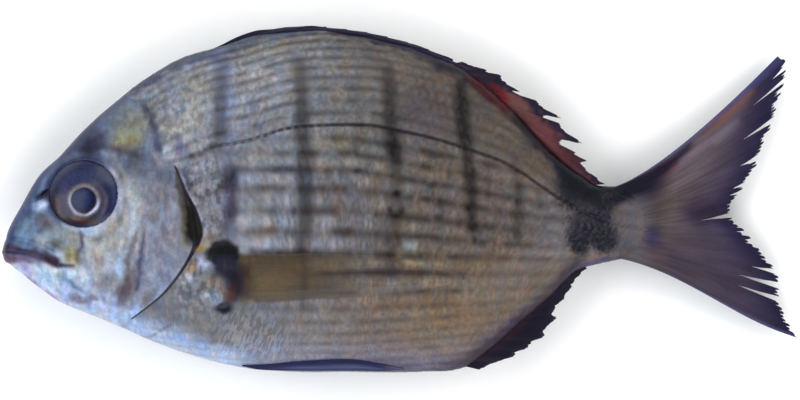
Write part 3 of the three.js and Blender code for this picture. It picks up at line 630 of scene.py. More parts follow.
SNOUT_MARKS = [
    # The first mark is painted shadow: a brown line along the groove below the eye, where the ridge above it
    # shades it.
    brushed(SUBORBITAL[1:], [1, 1.6, 2, 1.6, 1], 2.6, 0.45, (100, 88, 88), 0.2),
    dab(-97.1, -9.7, 2.6, 1.3, -25, 0.8, (176, 200, 232), 0.7),
    dab(-93.3, -8.2, 2.6, 1, 32, 0.6, (178, 182, 200)),
    brushed([(-100.2, -8.8), (-99.6, -12.5), (-99.9, -17.6)], [1.6, 1.4, 1.2], 1.8, 0.8, (62, 58, 84), 0.2),
    brushed([(-114.3, -0.3), (-112.1, 1.6), (-109.6, 3.1)], 1.5, 1.4, 0.95, (32, 32, 40), 0.2),
    dab(-112.5, -1.6, 2.1, 1.5, 25, 0.95, (196, 210, 238)),
    dab(-111.2, -6.9, 3.6, 1.8, -22, 0.75, (94, 82, 96)),
    brushed([(-114.3, -10.7), (-112.5, -8.8), (-109.9, -6.6)], 1.3, 1.8, 0.6, (76, 70, 86), 0.2),
    dab(-117.8, -9.7, 2.6, 4, -30, 0.7, (114, 142, 164)),
    dab(-111.2, -12.5, 3.4, 2, 20, 0.6, (154, 168, 178)),
    dab(-104.9, -10.7, 4, 2, -10, 0.5, (152, 156, 152), 0.9),
    dab(-103.4, -16.9, 1.8, 2.8, -10, 0.8, (140, 130, 84), 0.9),
    dab(-100.7, -18.2, 1, 2.4, 5, 0.7, (92, 84, 60)),
    dab(-107.7, -13.8, 2, 1.5, 0, 0.6, (90, 88, 78), 0.9),
]
MOUTH_MARKS = [
    brushed([(-124.4, -17.3), (-120.6, -17.6), (-116.2, -18.2), (-111.8, -18.8), (-108.1, -19.8),
             (-105.9, -21)], [5, 5, 4.6, 3.6, 2.6, 1.4], 2.2, 0.9, (92, 80, 112)),
    brushed([(-124.7, -15.7), (-122.5, -14.4), (-120, -15.1), (-115.6, -16), (-112.1, -16.6),
             (-108.7, -18.5), (-105.9, -20.4)], [2.4, 1.6, 1.2, 1.3, 2, 2.2, 1.2], 1.8, 0.85, (52, 46, 70)),
    brushed([(-124.1, -18.2), (-121.2, -18.8), (-118.1, -18.8)], 1.9, 1.8, 0.7, (112, 76, 98), 0.2),
    dab(-109.6, -18.8, 2.2, 1.6, -30, 0.8, (54, 36, 52), 0.7),
    dab(-116.8, -21.6, 3.6, 1.7, -45, 0.8, (172, 168, 216), 0.7),
    dab(-110.9, -23.8, 5.2, 2.4, -38, 0.85, (190, 218, 242)),
    dab(-108.7, -22, 3.2, 1.1, -30, 0.7, (214, 222, 214)),
    brushed([(-118.1, -23.2), (-114.3, -26.3), (-109.9, -29.8), (-106.2, -32)], 1.1, 1.6, 0.7,
            (138, 126, 172), 0.2),
    dab(-104.9, -29.5, 4, 2, -35, 0.6, (168, 188, 234)),
    brushed([(-109.3, -18.5), (-106.8, -20.4), (-104.3, -20.7), (-101.2, -20.4)], [1.6, 1.4, 1.2, 1], 1.6,
            0.8, (62, 50, 54), 0.15),
    dab(-105.6, -22.3, 0.9, 1.4, 0, 0.6, (206, 206, 222)),
    brushed([(-106.8, -22.3), (-104.6, -24.8), (-101.8, -27), (-96.8, -30.1)], [1.4, 1.6, 1, 0.8], 1.6,
            0.7, (96, 124, 150), 0.15),
    dab(-101.8, -23.8, 3.4, 1.8, -20, 0.6, (182, 202, 228)),
    dab(-100.5, -31.1, 2.8, 1.3, -12, 0.7, (100, 92, 110)),
    dab(-96.1, -30.7, 1.6, 1, 0, 0.6, (102, 100, 124)),
]
CHEEK_MARKS = [
    dab(-94.6, -18.8, 2.6, 2.4, 30, 0.5, (144, 126, 122)),
    dab(-92.4, -26.3, 2.8, 2.4, 0, 0.5, (120, 112, 120)),
    dab(-91.8, -14.4, 5, 2, 30, 0.45, (176, 174, 156)), dab(-99, -23.8, 3, 1.6, 0, 0.5, (190, 200, 214)),
    dab(-84.2, 4.4, 3.4, 3.4, 30, 0.5, (174, 174, 178), 0.9),
    dab(-88, -21.3, 1.4, 2.8, -8, 0.8, (164, 188, 226), 0.7),
    dab(-85.8, -28.5, 2.2, 4, -28, 0.8, (94, 80, 88), 0.7),
    dab(-83.3, -24.5, 1.6, 4.4, -14, 0.6, (110, 96, 104), 0.7),
    brushed(PREOPERCLE_REAR, [0.5, 1.4, 1.7, 1.5, 0.8], 1.8, 0.65, (68, 64, 94), 0.2),
    brushed(PREOPERCLE_FRONT, [0.5, 1.4, 2, 1.5, 0.9], 2, 0.6, (88, 78, 80), 0.2),
    dab(-82.7, -3.1, 1.4, 5.5, -6, 0.45, (186, 188, 182)),
    dab(-78.6, -30.7, 1.6, 2.2, -30, 0.5, (100, 90, 90)), dab(-75.4, 0, 3, 3, 0, 0.4, (112, 118, 136)),
    dab(-73.6, 7.5, 2.4, 3, 0, 0.5, (98, 92, 100)),
    # The last marks lie along the gill slit's upper part: the black where it gapes and the thin dark line
    # beside it are painted shade in the slit; the olive marks are the gill cover's own colour.
    brushed([(-70.4, 10), (-68.9, 4.4), (-67.3, -1.3), (-66, -6.9)], [1, 1.6, 2.4, 2.6], 2, 0.8,
            (66, 60, 54), 0.1),
    dab(-66.7, -8.8, 1.4, 5.4, 0, 0.8, (84, 74, 52), 0.7),
    dab(-64.5, -9.1, 2.2, 5, 4, 0.95, (20, 17, 20), 0.5),
    brushed([(-67.9, 4.4), (-66.3, -1.3), (-65.1, -6.3)], [0.6, 1.5, 1.9], 1.2, 0.85, (30, 26, 26), 0.1),
]
BEHIND_GILL_MARKS = [
    dab(-62.3, -15.4, 1.8, 1.3, 30, 0.85, (158, 130, 70)),
    dab(-63.2, -17.9, 1, 2.2, -25, 0.8, (124, 94, 78)),
    dab(-65.1, -21.3, 1.7, 1.5, 35, 0.8, (158, 124, 92)),
    dab(-67, -24.8, 1.3, 2, -40, 0.6, (186, 190, 202)),
    dab(-59.1, -12.2, 3.4, 1.3, 10, 0.5, (122, 104, 94)),
    dab(-61.6, -18.8, 1.7, 2.8, 35, 0.8, (174, 178, 206), 0.7),
    dab(-58.8, -25.1, 2.4, 2.4, 30, 0.6, (118, 108, 96)),
    dab(-56, -27.6, 1.4, 3.2, 24, 0.7, (136, 112, 106)),
    dab(-58.5, -30.4, 2.8, 2.2, -40, 0.8, (146, 164, 192), 0.7),
    dab(-62, -29.5, 1.8, 1.4, 0, 0.5, (132, 138, 154)),
]
STALK_PAINT = [
    brushed([(45.3, 17.3), (50, 11.6), (57.6, 4.4), (64.5, 1.3), (75.1, 3.8), (80.8, 6.3)],
            [1, 4, 9.4, 6.6, 3.2, 2.2], 4.4, 0.92, (16, 16, 38), 0.08),
    brushed([(48.8, -30.1), (57.6, -21.3), (64.5, -18.8), (78.3, -17.9)], 1.4, 1.6, 0.7, (82, 76, 106), 0.2),
    brushed([(19.3, 38.9), (24.9, 35.8), (31.2, 30.4), (35, 27.3)], [1.2, 3.4, 3.6, 3], 2.2, 0.9,
            (76, 34, 38), 0.1),
    brushed([(33.7, 28.2), (39.1, 23.2), (48.8, 13.8), (59.4, 6.9)], [3.2, 3.4, 3.8, 3], 2.2, 0.9,
            (44, 32, 38), 0.1),
]


def root_colour(x, y):
    """The tail's root, where the skin runs out over the fin's rays."""
    colour = lay(srgb(85, 79, 84) + np.zeros(np.shape(x) + (3,)), srgb(78, 68, 70), smoothstep(76.4, 82.0, x))
    return marked(x, y, colour, ROOT_MARKS)


def paint(plain_x, plain_y):
    """The skin's colour without its scales, from the whole fish's plan down to single marks."""
    x, y = roughened(plain_x, plain_y)
    head = head_mask(plain_x, plain_y)
    colour = lerp(trunk_colour(x, y), face_colour(x, y), head[..., None])
    underside = smoothstep(-0.88, -1.0, height_share(x, y)) * smoothstep(-22.1, -53.5, x)
    colour = lay(colour, srgb(186, 193, 210), 0.5 * underside)
    colour = marked(x, y, colour, NAPE_MARKS)

    # round the eye: darker navy above and in front of the orbit, partly the skin's own colour and partly
    # painted shade under the socket's rim; a thin dark ring on the rim; paler rings below and behind it
    orbit = orbit_share(plain_x, plain_y)
    low_right = smoothstep(-2.5, 4.0, (x - EYE_CENTRE[0]) * 0.8 - (y - EYE_CENTRE[1]) * 0.6)
    colour = layered(
        colour,
        ((50, 57, 92), 0.8 * (1 - low_right) * bell(orbit, 1.04, 0.12)),
        ((46, 46, 70), 0.8 * bell(orbit, 0.99, 0.035)),
        ((186, 190, 214), 0.75 * low_right * bell(orbit, 1.11, 0.07)),
        ((160, 156, 146), 0.45 * low_right * bell(orbit, 1.34, 0.12)))
    colour = marked(x, y, colour, SNOUT_MARKS + MOUTH_MARKS + CHEEK_MARKS)

    # the gill slit, painted shade: black where it gapes deep, grey-brown where it is a line
    behind = plain_x - gill_edge_x(plain_y)
    inside = (plain_y > GILL_LOW) & (plain_y < GILL_HIGH)
    wedge = gill_wedge(plain_y)
    middle, half = gill_slit(wedge)
    dark = 1 - smoothstep(0.65, 1.3, np.abs(behind - middle) / half)
    colour = lay(colour, lerp(srgb(62, 58, 70), srgb(8, 7, 12), wedge[..., None]), np.where(inside, dark, 0))
    colour = lay(colour, srgb(*PECTORAL_TONE), pectoral_bed(x, y))
    colour = marked(x, y, colour, BEHIND_GILL_MARKS + BED_MARKS + FOLD_MARKS)
    colour = lerp(colour, root_colour(x, y), smoothstep(62.6, 71.4, x)[..., None])
    return marked(x, y, colour, STALK_PAINT)


BARS = [  # points on each bar, its widths and how dark it is along its length
    ([(-55.4, 46.4), (-56.3, 39.2), (-56.3, 31.4), (-56.3, 22), (-56.9, 13.8)], [4.4, 4.4, 4.4, 4.6, 3],
     [0.3, 0.6, 0.7, 0.68, 0.4]),
    ([(-32.2, 47.1), (-31.5, 39.2), (-30.9, 31.4), (-30.3, 15.7), (-29.6, 0), (-30.3, -16.3),
      (-30.3, -31.4)], [4.4, 4.4, 5, 5.6, 4.8, 4.2, 1.8], [0.5, 0.74, 0.76, 0.76, 0.66, 0.7, 0.35]),
    ([(-3.9, 44.5), (-3.6, 34.5), (-3.3, 25.1), (-2.4, 15.7), (-1.4, 7.5), (-1.1, -1.6), (-2.4, -10),
      (-3, -19.4)], [3.6, 4.6, 4.4, 5.2, 3.6, 4.4, 4.2, 3.4], [0.5, 0.88, 0.8, 0.94, 0.52, 0.5, 0.45, 0.4]),
    ([(18, 38.9), (19, 31.4), (19.6, 23.5), (20.9, 14.1), (22.1, 3.1), (22.4, -6.9), (23.1, -14.4)],
     [3.4, 4.6, 4.6, 4, 3.8, 3.4, 1.2], [0.7, 1, 1, 0.9, 0.88, 0.88, 0.5]),
    ([(35, 15.7), (36.5, 6.3), (36.9, -3.1), (36.5, -13.8)], [1.6, 2.8, 3, 2], [0.2, 0.6, 0.7, 0.45]),
]
BLOTCHES = [  # x, y, radii, turn, how dark
    (-53.2, 6.6, 2.9, 4.4, -8, 0.84), (-52.5, -2.5, 2, 4.4, -12, 0.6), (-56.9, 3.1, 1.1, 2.2, -15, 0.6),
    (-56.3, 39.2, 2, 1.8, 0, 0.5), (-58.2, 16.9, 2.6, 1.4, 10, 0.7), (-29, 13.5, 2.4, 3.6, 0, 0.7),
    (-29, 4.4, 1.8, 2.4, 0, 0.7), (-33.1, -3.5, 1, 1.4, 0, 0.65), (-29.6, -3.5, 1.2, 1.2, 0, 0.6),
    (-30.3, -10, 2.2, 1.2, 0, 0.75), (-31.8, -1.6, 0.5, 5, 0, 0.45), (-31.8, -15.7, 0.5, 3.4, 8, 0.4),
    (-2, 15.4, 2.6, 5.4, 6, 1), (-2.4, 7.5, 1.4, 1, 0, 0.7), (-1.1, 1.9, 1.7, 1.5, 0, 0.95),
    (-3, -3.5, 1, 1.9, 20, 0.85), (0.2, -3.5, 1.1, 2, -20, 0.85), (-1.4, -5, 2, 0.9, 0, 0.85),
    (-3.6, -11.9, 1.3, 3, -15, 0.7), (-0.8, -12.5, 1, 2.6, 20, 0.6), (-3.3, -17.6, 2.4, 1.6, 0, 0.75),
    (19.3, 24.5, 1.8, 4.2, 0, 0.8), (20.5, 18.2, 2.6, 2.4, 0, 0.95), (22.4, 8.8, 1.9, 2.4, 0, 0.85),
    (22.4, 2.8, 2.2, 2.2, 0, 1), (21.5, -2.2, 1.9, 2, 0, 1), (22.7, -8.2, 2.1, 2.2, 0, 1),
    (23.1, -12.5, 0.8, 1.6, 0, 0.8), (37.2, 3.8, 1.1, 1.8, 0, 0.7), (36.9, -0.6, 1.3, 1.8, 0, 0.95),
    (35.9, -5, 1.4, 1.4, 0, 0.6), (36.5, -10, 1.2, 2.6, 0, 0.75), (43.4, -1.6, 2.2, 1.2, 0, 0.55),
    (43.4, 1.6, 1.4, 2.2, 0, 0.4), (-14, 15.7, 0.9, 2, 10, 0.5), (-13.6, 9.1, 1.6, 1, 0, 0.8),
    (9.9, 4.7, 1.6, 1, 20, 0.7), (8, 0.3, 1.8, 0.9, -5, 0.7), (12.4, -1.6, 0.8, 2.4, 0, 0.5),
    (11.8, -5.3, 1.4, 1.2, 0, 0.65), (11.1, 13.5, 2.6, 0.7, 0, 0.45), (7.7, -11.3, 3, 0.8, 0, 0.5),
    (17.1, -17.9, 1.8, 0.8, 0, 0.5), (7.7, -22.3, 10, 0.8, -5, 0.75), (17.4, -28.5, 1.8, 0.9, 0, 0.5),
    (27.4, 2.5, 1, 2.4, 0, 0.35),
]
STALK_MARKS = [  # the same for the dark spot on the tail's stalk
    (56.9, 1.9, 9, 6.4, -35, 1), (62, -3.1, 4.2, 8, -6, 1), (56, -11.9, 3.6, 5, 14, 1),
    (63.8, -11.9, 4.2, 4.6, -20, 1), (59.4, -7.5, 6.4, 6.4, 0, 1),
]


def dark_bars(x, y):
    total = spotted(x, y, BLOTCHES, 0.75)
    for points, widths, dark in BARS:
        _, share = to_line(x, y, points)
        strength = np.interp(share, np.linspace(0, 1, len(dark)), dark)
        total = np.maximum(total, strength * stroke(x, y, points, widths, 3.4, 0.06))
    return total


def dark_spot(x, y):
    return spotted(x, y, STALK_MARKS, 0.8)


# ---------------------------------------------------------------- making pieces
def grid_faces(rows, columns, closed=False):
    """Quads between rows x columns of points, counted row by row."""
    i, j = np.meshgrid(np.arange(rows - 1), np.arange(columns if closed else columns - 1), indexing="ij")
    a = i * columns + j
    b = i * columns + (j + 1) % columns
    return np.stack([a, b, b + columns, a + columns], -1).reshape(-1, 4)


def tube_faces(rings, around):
    """The faces of a tube that is closed at both ends."""
    first = list(range(around))[::-1]
    last = [(rings - 1) * around + k for k in range(around)]
    return grid_faces(rings, around, closed=True).tolist() + [first, last]


def slab(front, back, paint, places):
    """A thin closed shell between two grids of points, with a colour and a value triple at each place."""
    rows, columns = front.shape[:2]
    count = rows * columns
    faces = grid_faces(rows, columns)
    down = np.arange(rows) * columns
    loop = np.concatenate([np.arange(columns), down[1:] + columns - 1,
                           down[-1] + np.arange(columns - 1)[::-1], down[1:-1][::-1]])
    following = np.roll(loop, -1)
    rim = np.stack([loop, loop + count, following + count, following], 1)
    faces = np.concatenate([faces, faces[:, ::-1] + count, rim])
    points = np.concatenate([front.reshape(-1, 3), back.reshape(-1, 3)])
    twice = [np.concatenate([values.reshape(-1, 3)] * 2) for values in (paint, places)]
    return {"points": points, "faces": faces.tolist(), "paint": twice[0], "places": twice[1]}


def join(shells):
    """Several shells as one."""
    faces, start = [], 0
    for shell in shells:
        faces += [[corner + start for corner in face] for face in shell["faces"]]
        start += len(shell["points"])
    keys = [key for key in shells[0] if key != "faces"]
    return {"faces": faces, **{key: np.concatenate([shell[key] for shell in shells]) for key in keys}}


def make_piece(name, shell, material):
    """A mesh piece from a shell in millimetres. Every value but its points and faces goes on its points."""
    mesh = bpy.data.meshes.new(name)
    mesh.from_pydata((shell["points"] + PLACE) * MM, [], shell["faces"])
    for key in shell:
        if key in ("points", "faces"):
            continue
        values = np.asarray(shell[key], np.float32)
        if key == "paint":
            layer = mesh.attributes.new(key, "FLOAT_COLOR", "POINT")
            opaque = np.ones((len(values), 1), np.float32)
            base = np.clip(PAINT_SHARE * (to_linear(values) - SHINE), DARKEST, 1)
            layer.data.foreach_set("color", np.concatenate([base, opaque], 1).ravel())
        else:
            layer = mesh.attributes.new(key, "FLOAT_VECTOR", "POINT")
            layer.data.foreach_set("vector", values.ravel())
    mesh.polygons.foreach_set("use_smooth", np.ones(len(mesh.polygons), bool))
    mesh.materials.append(material)
    piece = bpy.data.objects.new(name, mesh)
    bpy.context.scene.collection.objects.link(piece)
    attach(piece, "root")
    return piece


# ---------------------------------------------------------------- the skin
HEAD_SPACING, TRUNK_SPACING, EDGE_SPACING = 0.46, 0.66, 0.22
LEFT_COLUMNS, RIGHT_COLUMNS = 188, 72
GILL_MIDDLE_X, GILL_REACH = -68.0, 42.0
MOUTH_SHARE, MOUTH_REACH = -0.45, 0.5
OFF_THE_LINE = 50  # is added to the distance from the lateral line where the line isn't drawn


def stations_x():
    """Places of the rings: close together on the head and closest at the gill cover's edge."""
    fine = np.linspace(SNOUT_X + 0.12, SNOUT_X + BODY_LENGTH, 4000)
    spacing = np.interp(fine, [-125, -122, -58, -45], [0.2, HEAD_SPACING, HEAD_SPACING, TRUNK_SPACING])
    spacing = lerp(spacing, EDGE_SPACING, bell(fine, GILL_MIDDLE_X, 3.0))
    count = np.concatenate([[0], np.cumsum(np.diff(fine) / spacing[1:])])
    return np.interp(np.linspace(0, count[-1], int(count[-1])), count, fine)


def column_shares():
    """Height shares of the columns round the section: up the left flank and down the right one."""
    def spread(count):
        p = np.linspace(-1, 1, count + 1)
        return 0.42 * p + 0.58 * np.sin(np.pi / 2 * p)
    left = spread(LEFT_COLUMNS)
    right = spread(RIGHT_COLUMNS)[::-1][1:-1]
    return np.concatenate([left, right]), np.concatenate([np.ones(len(left)), -np.ones(len(right))])


def hidden_length(base, h):
    """How much longer the way round the section is than it looks from above, up or down from its middle."""
    steps = np.diff(base[..., 1:], axis=1, append=base[:, :1, 1:])
    longer = np.linalg.norm(steps, axis=-1) - np.abs(steps[..., 0])
    columns = np.arange(h.shape[1])
    left = columns <= LEFT_COLUMNS
    forward = np.cumsum(longer, 1) - longer
    backward = np.cumsum(longer[:, ::-1], 1)[:, ::-1]
    middle = np.argmin(np.abs(h[0, :LEFT_COLUMNS]))
    up_left = forward - forward[:, middle:middle + 1]
    at_back = slice(LEFT_COLUMNS, LEFT_COLUMNS + 1)
    round_back = up_left[:, at_back] - (forward - forward[:, at_back])
    round_belly = up_left[:, :1] + backward
    right = np.where(h > 0, np.maximum(round_back, 0), np.minimum(round_belly, 0))
    return np.where(left, up_left, right)


def skin_grid():
    """Place along the body, height share and side of every point in the rings and columns of the skin."""
    ring_x = stations_x()
    h, side = column_shares()
    x = np.repeat(ring_x[:, None], len(h), 1)
    h = np.repeat(h[None, :], len(ring_x), 0)
    side = np.repeat(side[None, :], len(ring_x), 0)

    # Rings bend to follow the gill cover's edge, and columns bend to follow the mouth.
    mouth_x = np.linspace(SNOUT_X, -100, 60)
    mouth_h = height_share(mouth_x, gape_y(mouth_x))
    shift = np.interp(x, mouth_x, mouth_h - MOUTH_SHARE) * smoothstep(-84, -104, x)
    d = np.clip((h - MOUTH_SHARE) / MOUTH_REACH, -1, 1)
    h = h + np.clip(shift, -0.25, 0.3) * (1 - d * d)**2
    edge_y = np.linspace(GILL_LOW, GILL_HIGH, 60)
    edge_x = gill_edge_x(edge_y)
    edge_h = height_share(edge_x, edge_y)
    d = np.clip((x - GILL_MIDDLE_X) / GILL_REACH, -1, 1)
    return x + (np.interp(h, edge_h, edge_x) - GILL_MIDDLE_X) * (1 - d * d)**2, h, side


def grid_normal(base):
    """The direction out of closed rings of points."""
    along = np.gradient(base, axis=0)
    across = np.roll(base, -1, 1) - np.roll(base, 1, 1)
    normal = np.cross(along, across)
    return normal / np.maximum(np.linalg.norm(normal, axis=-1, keepdims=True), 1e-9)


def skin_piece(material):
    x, h, side = skin_grid()
    base = flank_points(x, h, side)
    unrolled = base[..., 1] + hidden_length(base, h)
    raised = relief(x, base[..., 1], h, side, scale_places(x, unrolled))
    resting = smoothstep(0.0, 1.5, base[..., 2])
    raised = np.where((side < 0) & (raised > 0), raised * resting, raised)
    raised = raised * smoothstep(SNOUT_X, SNOUT_X + 2.0, x)
    points = base + grid_normal(base) * raised[..., None]
    points[..., 2] = np.maximum(points[..., 2], 0)

    count, columns = x.shape
    tip = np.array([[SNOUT_X, back_y(SNOUT_X), middle_z(SNOUT_X)]])
    end_x = SNOUT_X + BODY_LENGTH
    end = np.array([[end_x + 0.2, (back_y(end_x) + belly_y(end_x)) / 2, middle_z(end_x)]])
    everything = np.concatenate([points.reshape(-1, 3), tip, end])
    faces = grid_faces(count, columns, closed=True)[:, ::-1].tolist()
    ring = np.arange(columns)
    first, last = count * columns, count * columns + 1
    faces += [[first, a, b] for a, b in zip(ring, np.roll(ring, -1))]
    base_row = (count - 1) * columns
    faces += [[last, base_row + b, base_row + a] for a, b in zip(ring, np.roll(ring, -1))]

    px = np.append(x.ravel(), [SNOUT_X, end_x])
    py = np.append(points[..., 1].ravel(), [tip[0, 1], end[0, 1]])
    s, t = scale_places(px, np.append(unrolled.ravel(), [tip[0, 1], end[0, 1]]))
    scaly = scale_mask(px, py)
    lateral = (py - lateral_y(px)) + OFF_THE_LINE * (1 - smoothstep(-71, -69, px)
                                                     * smoothstep(58.2, 53.8, px))
    shell = {
        "points": everything,
        "faces": faces,
        "paint": paint(px, py),
        "scales": np.stack([s, t, scaly], 1),
        "marks": np.stack([dark_bars(px, py), dark_spot(px, py), lateral], 1),
        "places": np.stack([px, py, head_mask(px, py)], 1),
        "areas": np.stack([shoulder_mask(px, py), chest_mask(px, py), stalk_mask(px, py)], 1),
        "texture": np.stack([row_strength(px, py), ochre_share(px, py), everything[:, 2]], 1),
    }
    piece = make_piece("skin", shell, material)
    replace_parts(piece, "body")


def skin_normal(x, h, side):
    """The direction out of the plain form at a place on the flank."""
    step = 0.3
    turn = 0.01
    along = flank_points(x + step, h, side) - flank_points(x - step, h, side)
    inner = np.clip(h, -0.985, 0.985)
    across = flank_points(x, inner + turn, side) - flank_points(x, inner - turn, side)
    normal = np.cross(along, across) * side
    return normal / np.linalg.norm(normal, axis=-1, keepdims=True)


# ---------------------------------------------------------------- the eyes
EYE_REACH, EYE_BULGE, EYE_RIM_SINK, EYE_DEPTH, ARC_BLUR = 1.03, 1.5, 0.3, 4.2, 0.6


IRIS_ARCS = [  # tint, strength, middle and reach in degrees, from and to how far from the pupil's centre
    ((58, 64, 101), 0.8, 100, 70, 5.8, 9.2), ((70, 69, 103), 0.8, 165, 50, 5.2, 8.4),
    ((84, 76, 92), 0.7, 20, 70, 5.8, 7.2), ((46, 46, 72), 0.8, 15, 70, 7.6, 8.8),
    ((100, 92, 104), 0.7, -20, 46, 6.6, 7.8), ((96, 74, 70), 0.9, 208, 56, 7.6, 9.4),
    ((48, 38, 46), 0.9, 214, 62, 9, 12), ((69, 63, 86), 0.8, 205, 50, 5.6, 7.4),
    ((118, 86, 68), 0.9, 258, 34, 5.6, 7), ((66, 48, 46), 0.9, 284, 40, 6, 7.8),
    ((48, 36, 40), 0.8, 250, 44, 7, 9), ((40, 43, 81), 0.9, -46, 60, 7.8, 11),
    ((58, 68, 102), 0.8, 10, 60, 9.2, 11), ((84, 82, 98), 0.6, 75, 60, 3.8, 5.2),
]


def eye_colour(x, y):
    """The iris, bright ring and clouded pupil with a painted soft reflection, as rings and arcs round the
    pupil.
    """
    dx, dy = x - PUPIL_CENTRE[0], y - PUPIL_CENTRE[1]
    angle = np.degrees(np.arctan2(dy, dx))
    away = np.hypot(dx, dy) + 0.15 * wander(x, y, 4, 14)

    def arc(middle, reach, inner=0.0, outer=20.0):
        round_it = smoothstep(reach, reach * 0.3, np.abs((angle - middle + 180) % 360 - 180))
        ring = smoothstep(inner - ARC_BLUR, inner + ARC_BLUR, away)
        return round_it * ring * smoothstep(outer + ARC_BLUR, outer - ARC_BLUR, away)

    colour = np.broadcast_to(srgb(50, 56, 84), x.shape + (3,))
    for tint, strength, *where in IRIS_ARCS:
        colour = lay(colour, srgb(*tint), strength * arc(*where))
    around = smoothstep(3.5, 4.3, away)
    thin = around * smoothstep(5.3, 4.6, away)
    pupil = smoothstep(4.3, 3.5, away)
    return layered(
        colour,
        ((108, 100, 108), 0.8 * around * smoothstep(6.0, 5.0, away)),
        ((134, 126, 130), 0.8 * thin), ((156, 158, 186), thin * arc(205, 75)),
        ((200, 198, 226), thin * arc(318, 60)), ((16, 24, 56), pupil),
        # Painted reflection: the pupil's lighter blue patch, up and towards the snout, is partly its clouding
        # and partly a soft reflection; it is darker towards its lower rear.
        ((38, 52, 90), 0.9 * pupil * smoothstep(4.0, 2.2, np.hypot(dx + 0.4, dy - 0.3))),
        ((12, 12, 50), 0.95 * pupil * arc(-45, 60, 2.6)),
        ((44, 46, 76), 0.6 * smoothstep(0.9, 1.0, orbit_share(x, y))))


def eye_piece(side, name, material):
    """An eyeball that fills its socket: it bulges in the middle and meets the skin all round."""
    rings, around = 84, 150
    tilt = np.linspace(0.004, np.pi - 0.004, rings)[:, None]
    turn = (np.arange(around) / around * 2 * np.pi)[None, :]
    share = np.sin(tilt)
    x = EYE_CENTRE[0] + EYE_REACH * EYE_RADII[0] * share * np.cos(turn)
    y = EYE_CENTRE[1] + EYE_REACH * EYE_RADII[1] * share * np.sin(turn)
    front = EYE_BULGE * (1 - share**2)**0.9 + 0.25 * np.exp(-(share * 2.6)**4) - EYE_RIM_SINK * share**8
    back = -EYE_RIM_SINK - EYE_DEPTH * np.abs(np.cos(tilt))
    height = np.where(tilt < np.pi / 2, front, back) * np.ones_like(x)
    h = height_share(x, y)
    outwards = skin_normal(np.array([EYE_CENTRE[0]]), np.array([height_share(*EYE_CENTRE)]), side)
    flat = (flank_points(x, h, side) + outwards * height[..., None]).reshape(-1, 3)
    away = np.hypot(flat[:, 0] - PUPIL_CENTRE[0], flat[:, 1] - PUPIL_CENTRE[1])
    angle = np.arctan2(flat[:, 1] - PUPIL_CENTRE[1], flat[:, 0] - PUPIL_CENTRE[0])
    shell = {"points": flat, "faces": tube_faces(rings, around), "paint": eye_colour(flat[:, 0], flat[:, 1]),
             "places": np.stack([away, np.cos(angle) * 3, np.sin(angle) * 3], 1)}
    piece = make_piece("eyeball_" + name, shell, material)
    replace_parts(piece, "eye_" + name)


# ---------------------------------------------------------------- the fins in the middle plane
CLEARANCE = 0.3
ROOT_DEPTH = 2.5
DORSAL_RAYS = [  # where the ray leaves the body, and its tip
    (12.4, 19.8, 43.4), (16.5, 26, 41.3), (20.2, 31.6, 39.2), (21.6, 37.6, 34), (22.6, 36.4, 33.4),
    (23.4, 42.8, 31.2), (24.9, 51.4, 25.3), (27.4, 44.4, 25.8), (30, 50.2, 24), (34, 57.7, 17.5),
    (37, 49.6, 18), (40.5, 54.8, 15), (45, 58.6, 12.3), (48, 57.4, 10.6), (52, 62.2, 6.8), (58, 64.3, 5),
]
ANAL_RAYS = [
    (15.5, 25, -53.3), (22.7, 35.4, -49.3), (27, 40.4, -46.3), (31, 45, -43), (35, 49.3, -37),
    (38, 48.4, -34.6), (41, 51.6, -31), (45.6, 54, -27.3), (50, 54.4, -26), (52, 56.4, -23.6),
    (56.5, 58.6, -21.6),
]
SPINE_COUNT = 11
SPINE_FIRST_X, SPINE_LAST_X, SPINE_LENGTH, SPINE_RADIUS, SPINE_RISE, SPINE_ASIDE = -58, 6, 22, 1.15, 1.1, 0.7

TAIL_UPPER = [(62, 3.2), (77, 3.2), (118.6, 45.2)]  # the upper edge's root, bend and tip
TAIL_LOWER = [(64, -17.8), (82, -18.8), (124.9, -43.4)]
TAIL_LOWER_SAG = 2.2
TAIL_RAYS = 17
TAIL_MARGIN = smooth_curve([
    (-43.4, 124.9), (-40, 123), (-34, 120.6), (-25, 119.6), (-18, 114.8), (-10, 108.6), (-5, 104.2),
    (-2, 104.4), (2, 106.6), (10, 111.6), (26, 117.4), (36, 120.6), (41, 121.9), (44, 121), (45.2, 118.6),
])
TAIL_TEARS = [  # height on the margin, depth, half width
    (42.2, 2.5, 0.7), (38.2, 8, 1), (25.3, 7.5, 1), (14, 3.2, 1.2), (5.2, 2.6, 0.9), (2.6, 2.2, 0.7),
    (-4.7, 7.6, 0.8), (-22.6, 4.5, 0.9), (-27.2, 10.5, 1), (-31.6, 10, 0.9),
]


def frayed(share, count, depth, seed):
    """Small uneven notches along a margin."""
    reach = np.random.default_rng(seed).uniform(0.0, 1.0, count + 1)**1.5
    place = share * count
    nearest = np.clip(np.round(place).astype(int), 0, count)
    return depth * (reach[nearest] + 0.6 * smoothstep(0.3, 0.5, np.abs(place - nearest)))


def blade(x, y, half, sway, paint, places):
    """A shell in the fish's middle plane, half thick to each side."""
    z = middle_z(x) + sway
    return slab(np.stack([x, y, z + half], -1), np.stack([x, y, z - half], -1), paint, places)


